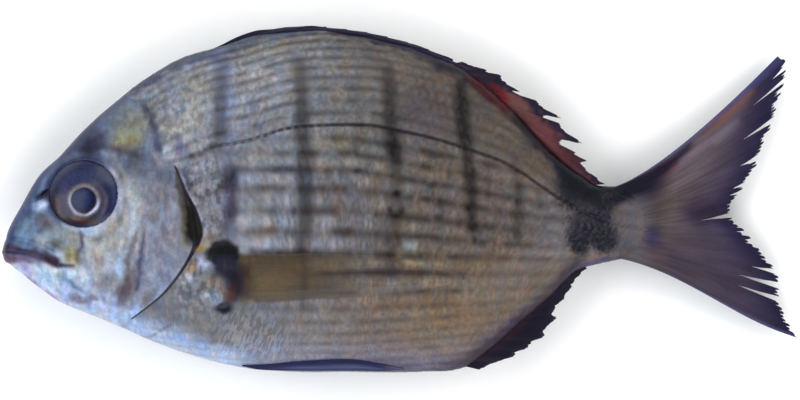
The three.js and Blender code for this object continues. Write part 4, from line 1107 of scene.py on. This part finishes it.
def folded_fin(rays, edge_y, inward, half_root, half_tip, colour_at):
    """A fin whose rays lie back, ragged along its margin."""
    per_gap, rows = 12, 30
    rays = np.array(rays, float)
    columns = np.linspace(0, len(rays) - 1, per_gap * (len(rays) - 1) + 1)
    root_x, tip_x, tip_y = (np.interp(columns, np.arange(len(rays)), rays[:, k]) for k in range(3))
    root_y = edge_y(root_x) + inward * ROOT_DEPTH
    from_ray = np.abs(columns - np.round(columns))
    short = frayed(columns / columns[-1], 5 * len(rays), 0.05, 21) + 0.1 * np.sin(np.pi * from_ray)**2
    edge = np.linspace(0, 1, rows)[:, None]
    r = edge * (1 - short)
    x = lerp(root_x, tip_x, r)
    y = lerp(root_y, tip_y, r)
    on_ray = np.cos(2 * np.pi * columns) * np.ones_like(r)
    half = lerp(half_root, half_tip, r) * (0.94 + 0.06 * on_ray) * smoothstep(1.04, 0.9, edge)**0.5 + 0.06
    places = np.stack([columns * np.ones_like(r), r * 20, on_ray * (1 - r / 2)], -1)
    return blade(x, y, half, 0.35 * r * wander(x, y, 11, 8), colour_at(x, y, r), places)


DORSAL_MARKS = [
    dab(37.5, 29.5, 5, 2, -42, 0.8, (104, 74, 70), 0.7),
    dab(46.6, 20.1, 5.6, 2.4, -38, 0.7, (116, 68, 74)), dab(54.4, 12.5, 5.4, 2.6, -42, 0.8, (80, 48, 56)),
    brushed([(27.4, 37), (30, 35.1), (32.2, 32.6), (34, 29.5)], [0.8, 1.4, 1.9, 0.9], 2.2, 0.8,
            (122, 30, 38), 0.15),
    brushed([(24.9, 35.1), (34.7, 26), (42.8, 18.5), (51.9, 10), (62.6, 3.1)], 2.2, 2.4, 0.85, (48, 26, 32)),
]


def dorsal_colour(x, y, share):
    colour = lerp(srgb(66, 40, 44), srgb(106, 66, 68), smoothstep(0.1, 0.4, share)[..., None])
    colour = layered(
        colour,
        ((42, 38, 56), smoothstep(0.5, 0.8, share + 0.1 * wander(x, y, 3, 81))),
        ((44, 38, 52), 0.9 * smoothstep(33.7, 29.3, x) * smoothstep(0.08, 0.3, share)),
        ((108, 104, 138), 0.4 * smoothstep(0.94, 1.0, share)))
    return marked(x, y, colour, DORSAL_MARKS)


def anal_colour(x, y, share):
    colour = lerp(srgb(56, 40, 46), srgb(37, 32, 46), smoothstep(0.1, 0.5, share)[..., None])
    return lay(colour, srgb(60, 58, 84), smoothstep(0.85, 1.0, share) * 0.7)


def spine_ridge():
    """The low ridge of skin that the folded spines lie in."""
    q = np.linspace(0, 1, 220)
    x = lerp(SPINE_FIRST_X, DORSAL_RAYS[1][0], q)
    rise = (SPINE_RISE + 0.25 * wander(x, 0 * x, 7, 9)) * np.sin(np.pi * np.clip(q * 4, 0, 0.5))
    r = np.linspace(0, 1, 12)[:, None]
    y = back_y(x) + lerp(-ROOT_DEPTH, rise, r)
    x = x * np.ones_like(y)
    half = lerp(1.3, 0.5, r) * smoothstep(1.05, 0.8, r)**0.5 * np.ones_like(y)
    colour = lerp(srgb(38, 36, 54), srgb(32, 30, 50), r[..., None] * np.ones_like(y)[..., None])
    return blade(x, y, half, 0, colour, np.stack([x / 3, y, 0 * x], -1))


def spine(number):
    """One folded spine: a tapered, slightly bowed rod."""
    around, steps = 14, 24
    root_x = lerp(SPINE_FIRST_X, SPINE_LAST_X, number / (SPINE_COUNT - 1))
    t = np.linspace(0, 1, steps)
    x = root_x + SPINE_LENGTH * t
    y = lerp(back_y(root_x) - 0.6, back_y(root_x + SPINE_LENGTH) + SPINE_RISE, t) + 0.4 * np.sin(np.pi * t)
    z = middle_z(x) + (SPINE_ASIDE if number % 2 else -SPINE_ASIDE) * lerp(1, 0.5, t)
    radius = (lerp(SPINE_RADIUS, 0.16, t**1.3) * lerp(0.4, 1, smoothstep(0, 0.35, t)))[:, None]
    angle = np.arange(around) / around * 2 * np.pi
    spread = np.ones(around)
    points = np.stack([x[:, None] * spread, y[:, None] + radius * np.cos(angle),
                       z[:, None] + radius * np.sin(angle)], -1).reshape(-1, 3)
    colour = lerp(srgb(38, 36, 54), srgb(72, 70, 92), (t**2)[:, None, None] * spread[None, :, None])
    places = np.stack([number + 0 * points[:, 0], points[:, 0] / 2, 0 * points[:, 0]], 1)
    return {"points": points, "faces": tube_faces(steps, around), "paint": colour.reshape(-1, 3),
            "places": places}


def tail_tear_depth(y):
    return np.max([deep * np.clip(1 - np.abs(y - at) / half, 0, 1) for at, deep, half in TAIL_TEARS], axis=0)


TAIL_MARKS = [
    dab(96.5, -3.8, 6.5, 3.2, 0, 0.8, (50, 40, 58)),
    brushed([(93.9, 20.4), (100.8, 25.7), (106.5, 30.7), (112.1, 35.8)], [1, 3.4, 3.2, 1.2], 3.4, 0.8,
            (130, 88, 78), 0.1),
    brushed([(97.7, 16.9), (102.1, 21.3), (107.1, 25.7)], [1.5, 3, 1.5], 3.4, 0.45, (124, 118, 132), 0.1),
    brushed([(90.8, 12.5), (93.9, 16.3), (97.7, 20.1)], [1.5, 3, 1.5], 3.4, 0.5, (116, 100, 112), 0.1),
]
TAIL_ROOT_MARKS = [
    brushed([(77.6, 6.6), (82, 9.1), (87.7, 12.5)], [2, 4, 2], 3.4, 0.75, (96, 58, 62), 0.1),
    brushed([(68.2, 3.1), (73.9, 4.4), (79.5, 7.5), (85.8, 12.5), (92.7, 18.8)], [4, 4, 3.2, 2, 1], 3, 0.9,
            (30, 27, 44), 0.1),
]


def tail_colour(x, y, q, t):
    colour = lerp(srgb(86, 76, 73), srgb(95, 84, 81), smoothstep(0, 0.4, t)[..., None])
    warm = smoothstep(0.45, 0.1, q) * smoothstep(0.15, 0.3, t) * smoothstep(0.9, 0.65, t)
    colour = layered(
        colour,
        ((70, 62, 80), smoothstep(0.45, 0.88, t)), ((110, 96, 104), 0.8 * warm),
        ((68, 60, 76), 0.7 * smoothstep(0.5, 0.85, q) * smoothstep(0.2, 0.5, t)),
        ((42, 38, 64), smoothstep(0.80, 0.99, t)))
    colour = marked(x, y, colour, TAIL_MARKS)
    colour = lerp(root_colour(x, y), colour, smoothstep(78.3, 87.0, x)[..., None])
    colour = marked(x, y, colour, TAIL_ROOT_MARKS)
    edge = np.maximum(smoothstep(0.02, 0.004, q), smoothstep(0.98, 0.996, q))
    return lay(colour, srgb(84, 82, 130), 0.7 * edge * smoothstep(0.1, 0.3, t))


def tail_blade():
    top, bottom = TAIL_UPPER[2][1], TAIL_LOWER[2][1]
    tears = [at + off * half for at, _, half in TAIL_TEARS for off in (-1, -0.5, 0, 0.5, 1)]
    height = np.array(sorted([*np.linspace(top, bottom, 400), *tears], reverse=True))
    q = (top - height) / (top - bottom)
    root, bend = ([lerp(TAIL_UPPER[k][axis], TAIL_LOWER[k][axis], q) for axis in (0, 1)] for k in (0, 1))
    tip = [TAIL_MARGIN(height), height]
    length = np.hypot(tip[0] - root[0], tip[1] - root[1])
    short = frayed(q, 70, 1.5, 31) * smoothstep(0, 0.02, q) * smoothstep(1, 0.98, q)
    edge = (np.linspace(0, 1, 72)**0.9)[:, None]
    t = edge * (1 - (tail_tear_depth(height) + short) / length)
    x, y = (lerp(lerp(root[k], bend[k], t), lerp(bend[k], tip[k], t), t) for k in (0, 1))
    y = y - TAIL_LOWER_SAG * q**8 * np.sin(np.pi * t**3)
    q = q * np.ones_like(t)

    rays = q * (TAIL_RAYS - 1)
    once, twice, again = (np.cos(2 * np.pi * rays * branches) for branches in (1, 2, 4))
    ridge = lerp(lerp(once, 0.7 * twice, smoothstep(0.35, 0.6, t)), 0.5 * again, smoothstep(0.65, 0.85, t))
    outer = np.minimum(smoothstep(0, 0.012, q), smoothstep(1, 0.988, q))
    half = lerp(1.5, 0.4, t**0.6) + 0.08 * ridge * (1 - t / 2)
    half = half * lerp(0.35, 1, outer) * smoothstep(1.03, 0.95, edge)**0.5 + 0.03
    sway = 0.35 * t * wander(x, y, 30, 5) + 0.25 * t**2 * wander(x, y, 9, 6)
    return blade(x, y, half, sway, tail_colour(x, y, q, t), np.stack([rays, t * 55, ridge], -1))


# ---------------------------------------------------------------- the paired fins
PECTORAL_THICKNESS, PECTORAL_RAYS, PECTORAL_RIDGE = 0.32, 15, 0.004
PECTORAL_ROOT_SINK, PECTORAL_ROOT_REACH, PECTORAL_RIM_SINK, PECTORAL_LIFT = 0.6, 0.12, 0.02, 0.16
pectoral_root = smooth_curve([(0, -50.0), (0.25, -49.4), (0.6, -49.4), (0.85, -50.3), (1, -52.2)])
PELVIC_ROOT_X, PELVIC_TIP_X, PELVIC_THICKNESS, PELVIC_KEEL = -49.5, 1.5, 0.9, 12
PELVIC_TURNS = smooth_curve([(0, 0.8), (0.12, 4), (0.35, 9), (0.65, 11), (0.85, 7), (1, 0.8)])


PECTORAL_MARKS = [
    dab(-22.1, -20.1, 8, 1.8, 0, 0.5, (106, 94, 76), 0.9),
    brushed([(-29.6, -23.2), (-15.8, -22.6), (-1.7, -22.3), (9.3, -22.6), (19.3, -24.5)],
            [0.8, 1.1, 1.4, 1.2, 0.6], 2.2, 0.7, (60, 48, 48), 0.15),
    brushed([(-30, -28.9), (-20.5, -28.9), (-12.1, -28.5)], 1, 1.9, 0.55, (72, 58, 50), 0.15),
    dab(-3, -19.4, 3, 3.8, 0, 0.6, (62, 54, 54)),
]


def pectoral_colour(x, y):
    """Ochre and dull at the root, and like the flank towards the tip."""
    colour = lay(trunk_colour(x, y), srgb(*PECTORAL_TONE), pectoral_bed(x, y))
    return marked(x, y, colour, PECTORAL_MARKS + BED_MARKS + FOLD_MARKS)


def pectoral_shell(side):
    q = np.linspace(0, 1, 98)[None, :]
    edge = np.linspace(0, 1, 170)[:, None]
    r = edge * (1 - frayed(q, 46, 0.012, 41))
    x = lerp(pectoral_root(q), PECTORAL_TIP_X, r)
    along = pectoral_share(x)
    y = lerp(pectoral_top(along), pectoral_bottom(along), q)
    h = height_share(x, y)
    normal = skin_normal(x, h, side)
    ridge = np.cos(2 * np.pi * q * (PECTORAL_RAYS - 1)) * smoothstep(1.0, 0.6, r)
    rim = np.minimum(smoothstep(0, 0.22, q), smoothstep(1, 0.78, q)) * smoothstep(1.02, 0.8, edge)
    thickness = (PECTORAL_THICKNESS + PECTORAL_RIDGE * ridge) * lerp(0.3, 1, rim)
    lift = lerp(-PECTORAL_RIM_SINK, PECTORAL_LIFT, rim)
    lift = lift - PECTORAL_ROOT_SINK * smoothstep(PECTORAL_ROOT_REACH, 0.0, r)
    outer = flank_points(x, h, side) + normal * (lift + thickness)[..., None]
    outer[..., 2] = np.maximum(outer[..., 2], 0)
    inner = outer - normal * thickness[..., None]
    rays = q * (PECTORAL_RAYS - 1) * np.ones_like(r)
    s, t = scale_places(x, y)
    shell = slab(outer, inner, pectoral_colour(x, y), np.stack([rays, r * 75, r], -1))
    shell["scales"] = np.concatenate([np.stack([s, t, row_strength(x, y)], -1).reshape(-1, 3)] * 2)
    shell["flank"] = np.concatenate([np.stack([x, y, ochre_share(x, y)], -1).reshape(-1, 3)] * 2)
    return shell


def pelvic_shell(side):
    q = np.linspace(0, 1, 28)[None, :]
    r = np.linspace(0, 1, 120)[:, None] * (1 - frayed(q, 9, 0.03, 51))
    x = lerp(PELVIC_ROOT_X, PELVIC_TIP_X, r)
    h = np.sin(np.radians(-90 + PELVIC_KEEL + PELVIC_TURNS(r) * q))
    normal = skin_normal(x, h, side)
    rim = np.minimum(smoothstep(0, 0.15, q), smoothstep(1, 0.85, q))
    rim = rim * smoothstep(0, 0.12, r) * smoothstep(1, 0.85, r)
    ridge = np.cos(2 * np.pi * q * 6) * np.ones_like(r)
    thickness = PELVIC_THICKNESS * lerp(0.35, 1, rim) + 0.08 * ridge
    base = flank_points(x, h, side)
    outer = base + normal * (CLEARANCE + thickness)[..., None]
    inner = base + normal * CLEARANCE
    # Lighter blue-grey down the middle of the fin: partly its own colour and partly a painted highlight.
    middle = bell(q, 0.5, 0.2) * smoothstep(0.1, 0.4, r) * smoothstep(1.0, 0.75, r)
    colour = lerp(srgb(46, 48, 82), srgb(88, 95, 130), 0.9 * middle[..., None])
    colour = lay(colour, srgb(104, 102, 120), smoothstep(0.82, 1.0, r) * np.ones_like(q))
    return slab(outer, inner, colour, np.stack([q * 6 * np.ones_like(r), r * 50, ridge], -1))


# ---------------------------------------------------------------- materials
class Field:
    """A value in a material's node tree that adds, multiplies and compares as a number does."""

    def __init__(self, tree, socket):
        self.tree = tree
        self.socket = socket

    def math(self, operation, *others):
        node = self.tree.nodes.new("ShaderNodeMath")
        node.operation = operation
        for socket, value in zip(node.inputs, (self, *others)):
            connect(self.tree, value, socket)
        return Field(self.tree, node.outputs[0])

    def __add__(self, other):
        return self.math("ADD", other)

    def __sub__(self, other):
        return self.math("SUBTRACT", other)

    def __mul__(self, other):
        return self.math("MULTIPLY", other)

    def floor(self):
        return self.math("FLOOR")

    def absolute(self):
        return self.math("ABSOLUTE")

    def ramp(self, low, high, start=0.0, stop=1.0):
        """Smoothly from start, where the value is low, to stop, where it is high."""
        node = self.tree.nodes.new("ShaderNodeMapRange")
        node.interpolation_type = "SMOOTHSTEP"
        for socket, value in zip(node.inputs, (self, low, high, start, stop)):
            connect(self.tree, value, socket)
        return Field(self.tree, node.outputs[0])

    def parts(self):
        node = self.tree.nodes.new("ShaderNodeSeparateXYZ")
        connect(self.tree, self, node.inputs[0])
        return [Field(self.tree, output) for output in node.outputs]

    def tinted(self, colour, share, blend="MIX"):
        """This colour, run into another one by a share."""
        node = self.tree.nodes.new("ShaderNodeMix")
        node.data_type = "RGBA"
        node.blend_type = blend
        colours = [socket for socket in node.inputs if socket.type == "RGBA"]
        connect(self.tree, share, node.inputs[0])
        connect(self.tree, self, colours[0])
        connect(self.tree, colour, colours[1])
        return Field(self.tree, [socket for socket in node.outputs if socket.type == "RGBA"][0])

    def times(self, colour, share=1.0):
        """This colour multiplied by another one or by a tone, by a share."""
        return self.tinted(colour, share, "MULTIPLY")


def partly(factor, share):
    """A factor where the share is 1, and 1 where it is 0."""
    return (factor - 1.0) * share + 1.0


def connect(tree, value, socket):
    if isinstance(value, Field):
        tree.links.new(value.socket, socket)
    elif isinstance(value, (tuple, list, np.ndarray)) and len(value) == 3 and socket.type == "RGBA":
        socket.default_value = (*value, 1.0)
    else:
        socket.default_value = value


class Material:
    """A Principled material and the fields that feed it."""

    def __init__(self, name, **constants):
        self.material = bpy.data.materials.new(name)
        self.material.use_nodes = True
        self.tree = self.material.node_tree
        self.shader = self.tree.nodes["Principled BSDF"]
        for socket, value in constants.items():
            self.shader.inputs[socket.replace("_", " ")].default_value = value

    def attribute(self, name, output="Vector"):
        node = self.tree.nodes.new("ShaderNodeAttribute")
        node.attribute_name = name
        return Field(self.tree, node.outputs[output])

    def together(self, x, y, z=0.0):
        node = self.tree.nodes.new("ShaderNodeCombineXYZ")
        for socket, value in zip(node.inputs, (x, y, z)):
            connect(self.tree, value, socket)
        return Field(self.tree, node.outputs[0])

    def noise(self, place, scale=1.0, detail=1.0, roughness=0.5):
        """Smooth noise from 0 to 1 at a place, which is a field or two or three fields."""
        node = self.tree.nodes.new("ShaderNodeTexNoise")
        place = self.together(*place) if isinstance(place, tuple) else place
        values = {"Vector": place, "Scale": scale, "Detail": detail, "Roughness": roughness}
        for socket, value in values.items():
            connect(self.tree, value, node.inputs[socket])
        return Field(self.tree, node.outputs["Fac"])

    def dice(self, place):
        """A random number for each whole-numbered place."""
        node = self.tree.nodes.new("ShaderNodeTexWhiteNoise")
        connect(self.tree, place, node.inputs["Vector"])
        return Field(self.tree, node.outputs["Value"])

    def finish(self, colour, roughness, height, metallic=0.0):
        """Links the fields. height is in millimetres."""
        node = self.tree.nodes.new("ShaderNodeBump")
        node.inputs["Strength"].default_value = 1.0
        node.inputs["Distance"].default_value = MM
        connect(self.tree, height, node.inputs["Height"])
        values = {"Base Color": colour, "Roughness": roughness, "Metallic": metallic}
        for socket, value in values.items():
            connect(self.tree, value, self.shader.inputs[socket])
        self.tree.links.new(node.outputs[0], self.shader.inputs["Normal"])
        return self.material


def scale_texture(m, s, t, x, rows, cells):
    """Rows of scales and single scales. rows and cells say how plainly each shows.

    Gives their brightness, in which the middles of some scales carry painted glints, how dark the lines
    between rows are, the two noises that break them up, the height and a random number for each scale.
    """
    row = t.floor()
    v = t - row - 0.5
    stagger = row.math("FLOORED_MODULO", 2.0) * 0.5
    u = s + stagger + v * v * 1.2
    number = u.floor()
    f = u - number
    luck = m.dice(m.together(number, row, 0.0))
    blobs = m.noise((s, t))
    specks = m.noise((s * 1.7, t * 2.5, 4.0))
    line_number = (t + 0.5).floor()
    dashes = m.noise((s * 0.4, line_number * 5.3, 5.0), 1.0, 1.0, 0.6)
    clumps = m.noise((s * 0.42, t * 0.7, 18.0))

    row_line = (v.absolute() + (blobs - 0.5) * 0.3 + (specks - 0.5) * 0.3).ramp(0.08, 0.5)
    row_dark = row_line * dashes.ramp(0.32, 0.62, 0.12, 0.58) * rows
    middle = (v * v * -4.0 + 1.0) * (f - f * f) * 4.0
    # Painted highlight: the middles of some scales are made brighter, more so towards the head, as glints of
    # their sheen.
    painted_glint = middle * luck.ramp(0.5, 1.0, 0.0, 0.42) * x.ramp(60.0, -50.0, 0.4, 1.0)
    tone = (row_dark * -1.0 + rows * 0.1 + 1.0) * partly(clumps.ramp(0.3, 0.7, 0.9, 1.1), cells)
    tone = tone * partly(blobs.ramp(0.28, 0.72, 0.9, 1.1) * (painted_glint + 0.95), cells)
    tone = tone * partly(specks.ramp(0.28, 0.72, 0.77, 1.23), cells)
    height = f.ramp(0.0, 1.0, 0.0, 0.05) * cells - row_dark * 0.05 + blobs * 0.03
    return tone, row_dark, blobs, specks, height, luck


def tinted_scales(m, colour, s, t, place, ochre, row_dark):
    """Warm and cool patches over the body and from scale to scale, and yellower scales in places."""
    warm = m.noise(place, 0.2)
    scale_warm = m.noise((s, t, 9.0), 0.85, 0.0)
    green = (m.noise(place, 0.31) - 0.5) * 0.14
    green = green + (m.noise((s, t, 23.0), 1.1, 0.0) - 0.5) * 0.14
    heat = (warm - 0.5) * 0.34 + (scale_warm - 0.5) * 0.26
    colour = colour.times(m.together(heat + 1.0, green + 1.0, heat * -1.15 + 1.0))
    colour = colour.times((1.08, 0.93, 0.62), ochre * scale_warm.ramp(0.36, 0.62, 0.1, 0.75))
    return colour.times((0.86, 0.74, 0.72), row_dark)


def skin_material():
    m = Material("wet_skin", Coat_Weight=0.10, Coat_Roughness=0.12, Specular_IOR_Level=0.16)
    colour = m.attribute("paint", "Color")
    s, t, scaly = m.attribute("scales").parts()
    bars, stalk, lateral = m.attribute("marks").parts()
    x, y, head = m.attribute("places").parts()
    shoulder, chest, stalk_area = m.attribute("areas").parts()
    strength, ochre, z = m.attribute("texture").parts()
    cells = (strength * 0.65 + 0.35) * scaly
    tone, row_dark, blobs, specks, relief, luck = scale_texture(m, s, t, x, strength * scaly, cells)

    place = m.together(x, y, z)
    patches = m.noise(place, 0.1)
    blotches = m.noise(place, 0.36)
    fine = m.noise(place, 1.1)
    streaks = m.noise((x * 0.9, y * 0.45, 3.0), 0.6)
    rising = m.noise((x * 0.17 + y * 0.36, x * 1.0 - y * 0.46, 6.0), 1.1)
    veins = (m.noise((x, y, z + 12.0), 0.42, 2.0, 0.6) - 0.5).absolute()
    tone = tone * patches.ramp(0.3, 0.7, 0.92, 1.08)
    face = (head + shoulder).math("MINIMUM", 1.0)
    face_tone = streaks.ramp(0.3, 0.7, 0.83, 1.17) * blotches.ramp(0.3, 0.7, 0.88, 1.12)
    face_tone = face_tone * fine.ramp(0.3, 0.7, 0.95, 1.05) * veins.ramp(0.0, 0.1, 0.9, 1.02)
    tone = tone * partly(face_tone, face)
    mottle = m.noise((x * 0.55, y * 0.38, z * 0.4))
    tone = tone * partly(mottle.ramp(0.36, 0.64, 0.64, 1.38), shoulder)
    tone = tone * partly(rising.ramp(0.38, 0.6, 0.6, 1.14), chest)
    colour = colour.times(tone)
    colour = tinted_scales(m, colour, s, t, place, ochre, row_dark)

    # Marks: bars, the dark spot on the stalk and the lateral line.
    torn = specks.ramp(0.25, 0.75, 0.84, 1.14)
    colour = colour.times((0.07, 0.055, 0.065), (bars * torn).math("MINIMUM", 1.0))
    ragged = (rising - 0.5) * 1.2 + (fine - 0.5) * 1.0
    blot = (stalk * 1.25 + ragged * stalk_area).ramp(0.1, 1.05)
    lower = y.ramp(-3.8, 0.6, 1.0, 0.0)
    colour = colour.tinted((0.026, 0.024, 0.042), stalk.ramp(0.2, 0.8) * lower * 0.85)
    colour = colour.tinted((0.001, 0.001, 0.006), blot * (specks.ramp(0.46, 0.7, 0.0, -0.42) * lower + 0.99))
    bead = (s * 6.2832).math("SINE").ramp(-0.6, 0.6, x.ramp(-38.0, -16.0, 0.45, 0.92), 1.0)
    line = (lateral.absolute() + (blobs - 0.5) * 0.4).ramp(0.9, 0.2) * bead * x.ramp(-68.0, -32.0, 0.4, 0.9)
    colour = colour.times((0.12, 0.11, 0.14), line)

    height = relief + streaks * head * 0.04 + blotches * head * 0.06 + fine * 0.01
    roughness = blotches.ramp(0.2, 0.8, 0.30, 0.44) + (luck - 0.5) * 0.12 * scaly
    metallic = x.ramp(50.0, -60.0, 0.0, 0.08)
    return m.finish(colour, roughness, height, metallic)


def fin_material():
    m = Material("fin_skin", Coat_Weight=0.05, Coat_Roughness=0.25, Specular_IOR_Level=0.12)
    colour = m.attribute("paint", "Color")
    rays, along, ridge = m.attribute("places").parts()
    streaks = m.noise((rays * 2.6, along * 0.10, 0.0))
    grain = m.noise((rays * 7.0, along * 0.5, 5.0))
    joints = m.noise((rays * 4.0, along * 1.6, 2.0), 1.0, 2.0)
    broad = m.noise((rays * 0.9, along * 0.05, 7.0))
    tone = streaks.ramp(0.25, 0.75, 0.86, 1.15) * grain.ramp(0.2, 0.8, 0.96, 1.04)
    tone = tone * ridge.ramp(-1.0, 1.0, 0.95, 1.05) * joints.ramp(0.3, 0.7, 0.95, 1.05)
    tone = tone * broad.ramp(0.3, 0.7, 0.84, 1.18)
    tone = partly(tone, along.ramp(4.0, 14.0, 0.35, 1.0))
    colour = colour.times(tone)
    height = streaks * 0.05 + grain * 0.02 + joints * 0.02
    return m.finish(colour, grain.ramp(0.2, 0.8, 0.42, 0.6), height)


def pectoral_material():
    """Thin skin over rays at the root. Towards the tip the scales below show through."""
    m = Material("pectoral_skin", Coat_Weight=0.1, Coat_Roughness=0.18, Specular_IOR_Level=0.16)
    colour = m.attribute("paint", "Color")
    rays, along, reach = m.attribute("places").parts()
    s, t, strength = m.attribute("scales").parts()
    x, y, ochre = m.attribute("flank").parts()
    through = reach.ramp(0.15, 0.7, 0.05, 1.0)
    cells = (strength * 0.65 + 0.35) * through
    tone, row_dark, _, _, relief, _ = scale_texture(m, s, t, x, strength * through, cells)
    streaks = m.noise((rays * 1.6, along * 0.07, 0.0), 1.0, 3.0, 0.6)
    grain = m.noise((rays * 4.0, along * 0.9, 5.0), 1.0, 2.0, 0.6)
    blotches = m.noise((rays * 0.5, along * 0.4, 8.0), 1.0, 3.0, 0.6)
    tone = tone * streaks.ramp(0.25, 0.75, 0.93, 1.07) * grain.ramp(0.2, 0.8, 0.97, 1.03)
    patches = m.noise((x, y), 0.1)
    tone = tone * blotches.ramp(0.3, 0.7, 0.92, 1.09) * patches.ramp(0.3, 0.7, 0.92, 1.08)
    colour = colour.times(tone)
    colour = tinted_scales(m, colour, s, t, m.together(x, y, 15.0), ochre * through, row_dark)
    height = relief + streaks * 0.05 + grain * 0.02
    return m.finish(colour, grain.ramp(0.2, 0.8, 0.32, 0.46), height)


def eye_material():
    m = Material("wet_eye", Coat_Weight=0.22, Coat_Roughness=0.22, Specular_IOR_Level=0.16)
    colour = m.attribute("paint", "Color")
    away, side, up = m.attribute("places").parts()
    spokes = m.noise((side * 3.0, up * 3.0, away * 0.25), 1.0, 3.0, 0.6)
    grain = m.noise((side, up, away), 1.4, 3.0, 0.6)
    iris = away.ramp(3.6, 4.4)
    tone = partly(spokes.ramp(0.25, 0.75, 0.8, 1.2), iris) * grain.ramp(0.2, 0.8, 0.9, 1.1)
    colour = colour.times(tone)
    return m.finish(colour, grain.ramp(0.2, 0.8, 0.22, 0.34), spokes * iris * 0.05)


# ---------------------------------------------------------------- the fish
skin_piece(skin_material())
for side, name in ((1, "left"), (-1, "right")):
    eye_piece(side, name, eye_material() if side > 0 else bpy.data.materials["wet_eye"])

fin_skin = fin_material()
dorsal = join([folded_fin(DORSAL_RAYS, back_y, -1, 1.1, 0.45, dorsal_colour), spine_ridge(),
               *[spine(number) for number in range(SPINE_COUNT)]])
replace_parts(make_piece("dorsal", dorsal, fin_skin), "dorsal_fin")
anal = folded_fin(ANAL_RAYS, belly_y, 1, 1.4, 0.6, anal_colour)
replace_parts(make_piece("anal", anal, fin_skin), "anal_fin")
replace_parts(make_piece("tail", tail_blade(), fin_skin), "tail_fin")
pectoral_skin = pectoral_material()
for side, name in ((1, "left"), (-1, "right")):
    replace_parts(make_piece("pectoral_" + name, pectoral_shell(side), pectoral_skin),
                "pectoral_fin_" + name)
    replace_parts(make_piece("pelvic_" + name, pelvic_shell(side), fin_skin), "pelvic_fin_" + name)


# ---------------------------------------------------------------- floor, light and camera
FLOOR_REACH = 3.0


def floor():
    """A pale floor with a very slight grain."""
    mesh = bpy.data.meshes.new("floor")
    corners = [(FLOOR_REACH * x, FLOOR_REACH * y, 0) for x, y in ((-1, -1), (1, -1), (1, 1), (-1, 1))]
    mesh.from_pydata(corners, [], [(0, 1, 2, 3)])
    m = Material("pale_floor", Specular_IOR_Level=0.1)
    place = Field(m.tree, m.tree.nodes.new("ShaderNodeTexCoord").outputs["Object"])
    grain = m.noise(place, 300.0, 2.0)
    tone = grain.ramp(0.0, 1.0, 0.92, 0.94)
    mesh.materials.append(m.finish(tone, grain.ramp(0.0, 1.0, 0.7, 0.8), grain * 0.02))
    plane = bpy.data.objects.new("floor", mesh)
    bpy.context.scene.collection.objects.link(plane)


LIGHT_SIZE = 1.3
LIGHTS = [  # name, place in metres, watts, tint: all round the fish, so that no shadow is deep
    ("belly_side", (0.1, -1.3, 1.1), 17.0, (0.96, 0.98, 1.0)),
    ("head_side", (-1.3, 0.0, 1.1), 14.0, (0.95, 0.98, 1.0)),
    ("back_side", (0.0, 1.3, 1.1), 13.0, (1.0, 1.0, 0.98)),
    ("tail_side", (1.3, 0.1, 1.1), 13.0, (1.0, 0.99, 0.97)),
]


def soft_light(name, place, power, tint):
    """A large square light that looks at the fish."""
    light = bpy.data.lights.new(name, "AREA")
    light.size = LIGHT_SIZE
    light.energy = power
    light.color = tint
    lamp = bpy.data.objects.new(name, light)
    lamp.location = place
    lamp.rotation_euler = Vector(place).to_track_quat("Z", "Y").to_euler()
    bpy.context.scene.collection.objects.link(lamp)


SKY_COLOUR, SKY_STRENGTH = (0.93, 0.96, 1.0), 0.42


def sky():
    world = bpy.data.worlds.new("studio")
    world.use_nodes = True
    background = world.node_tree.nodes["Background"]
    background.inputs["Color"].default_value = (*SKY_COLOUR, 1.0)
    background.inputs["Strength"].default_value = SKY_STRENGTH
    bpy.context.scene.world = world


SENSOR = 36.0
CAMERA_X, CAMERA_Y, CAMERA_HEIGHT = -0.00016, -0.00034, 3.0
FRAME_WIDTH = 0.2509
FLANK_Z = 0.0157


def camera():
    data = bpy.data.cameras.new("camera")
    data.sensor_width = SENSOR
    data.lens = SENSOR * CAMERA_HEIGHT / FRAME_WIDTH
    data.clip_end = 20.0
    view = bpy.data.objects.new("camera", data)
    view.location = (CAMERA_X, CAMERA_Y, FLANK_Z + CAMERA_HEIGHT)
    bpy.context.scene.collection.objects.link(view)
    bpy.context.scene.camera = view


floor()
sky()
for light in LIGHTS:
    soft_light(*light)
camera()
bpy.context.scene.view_settings.view_transform = "Standard"
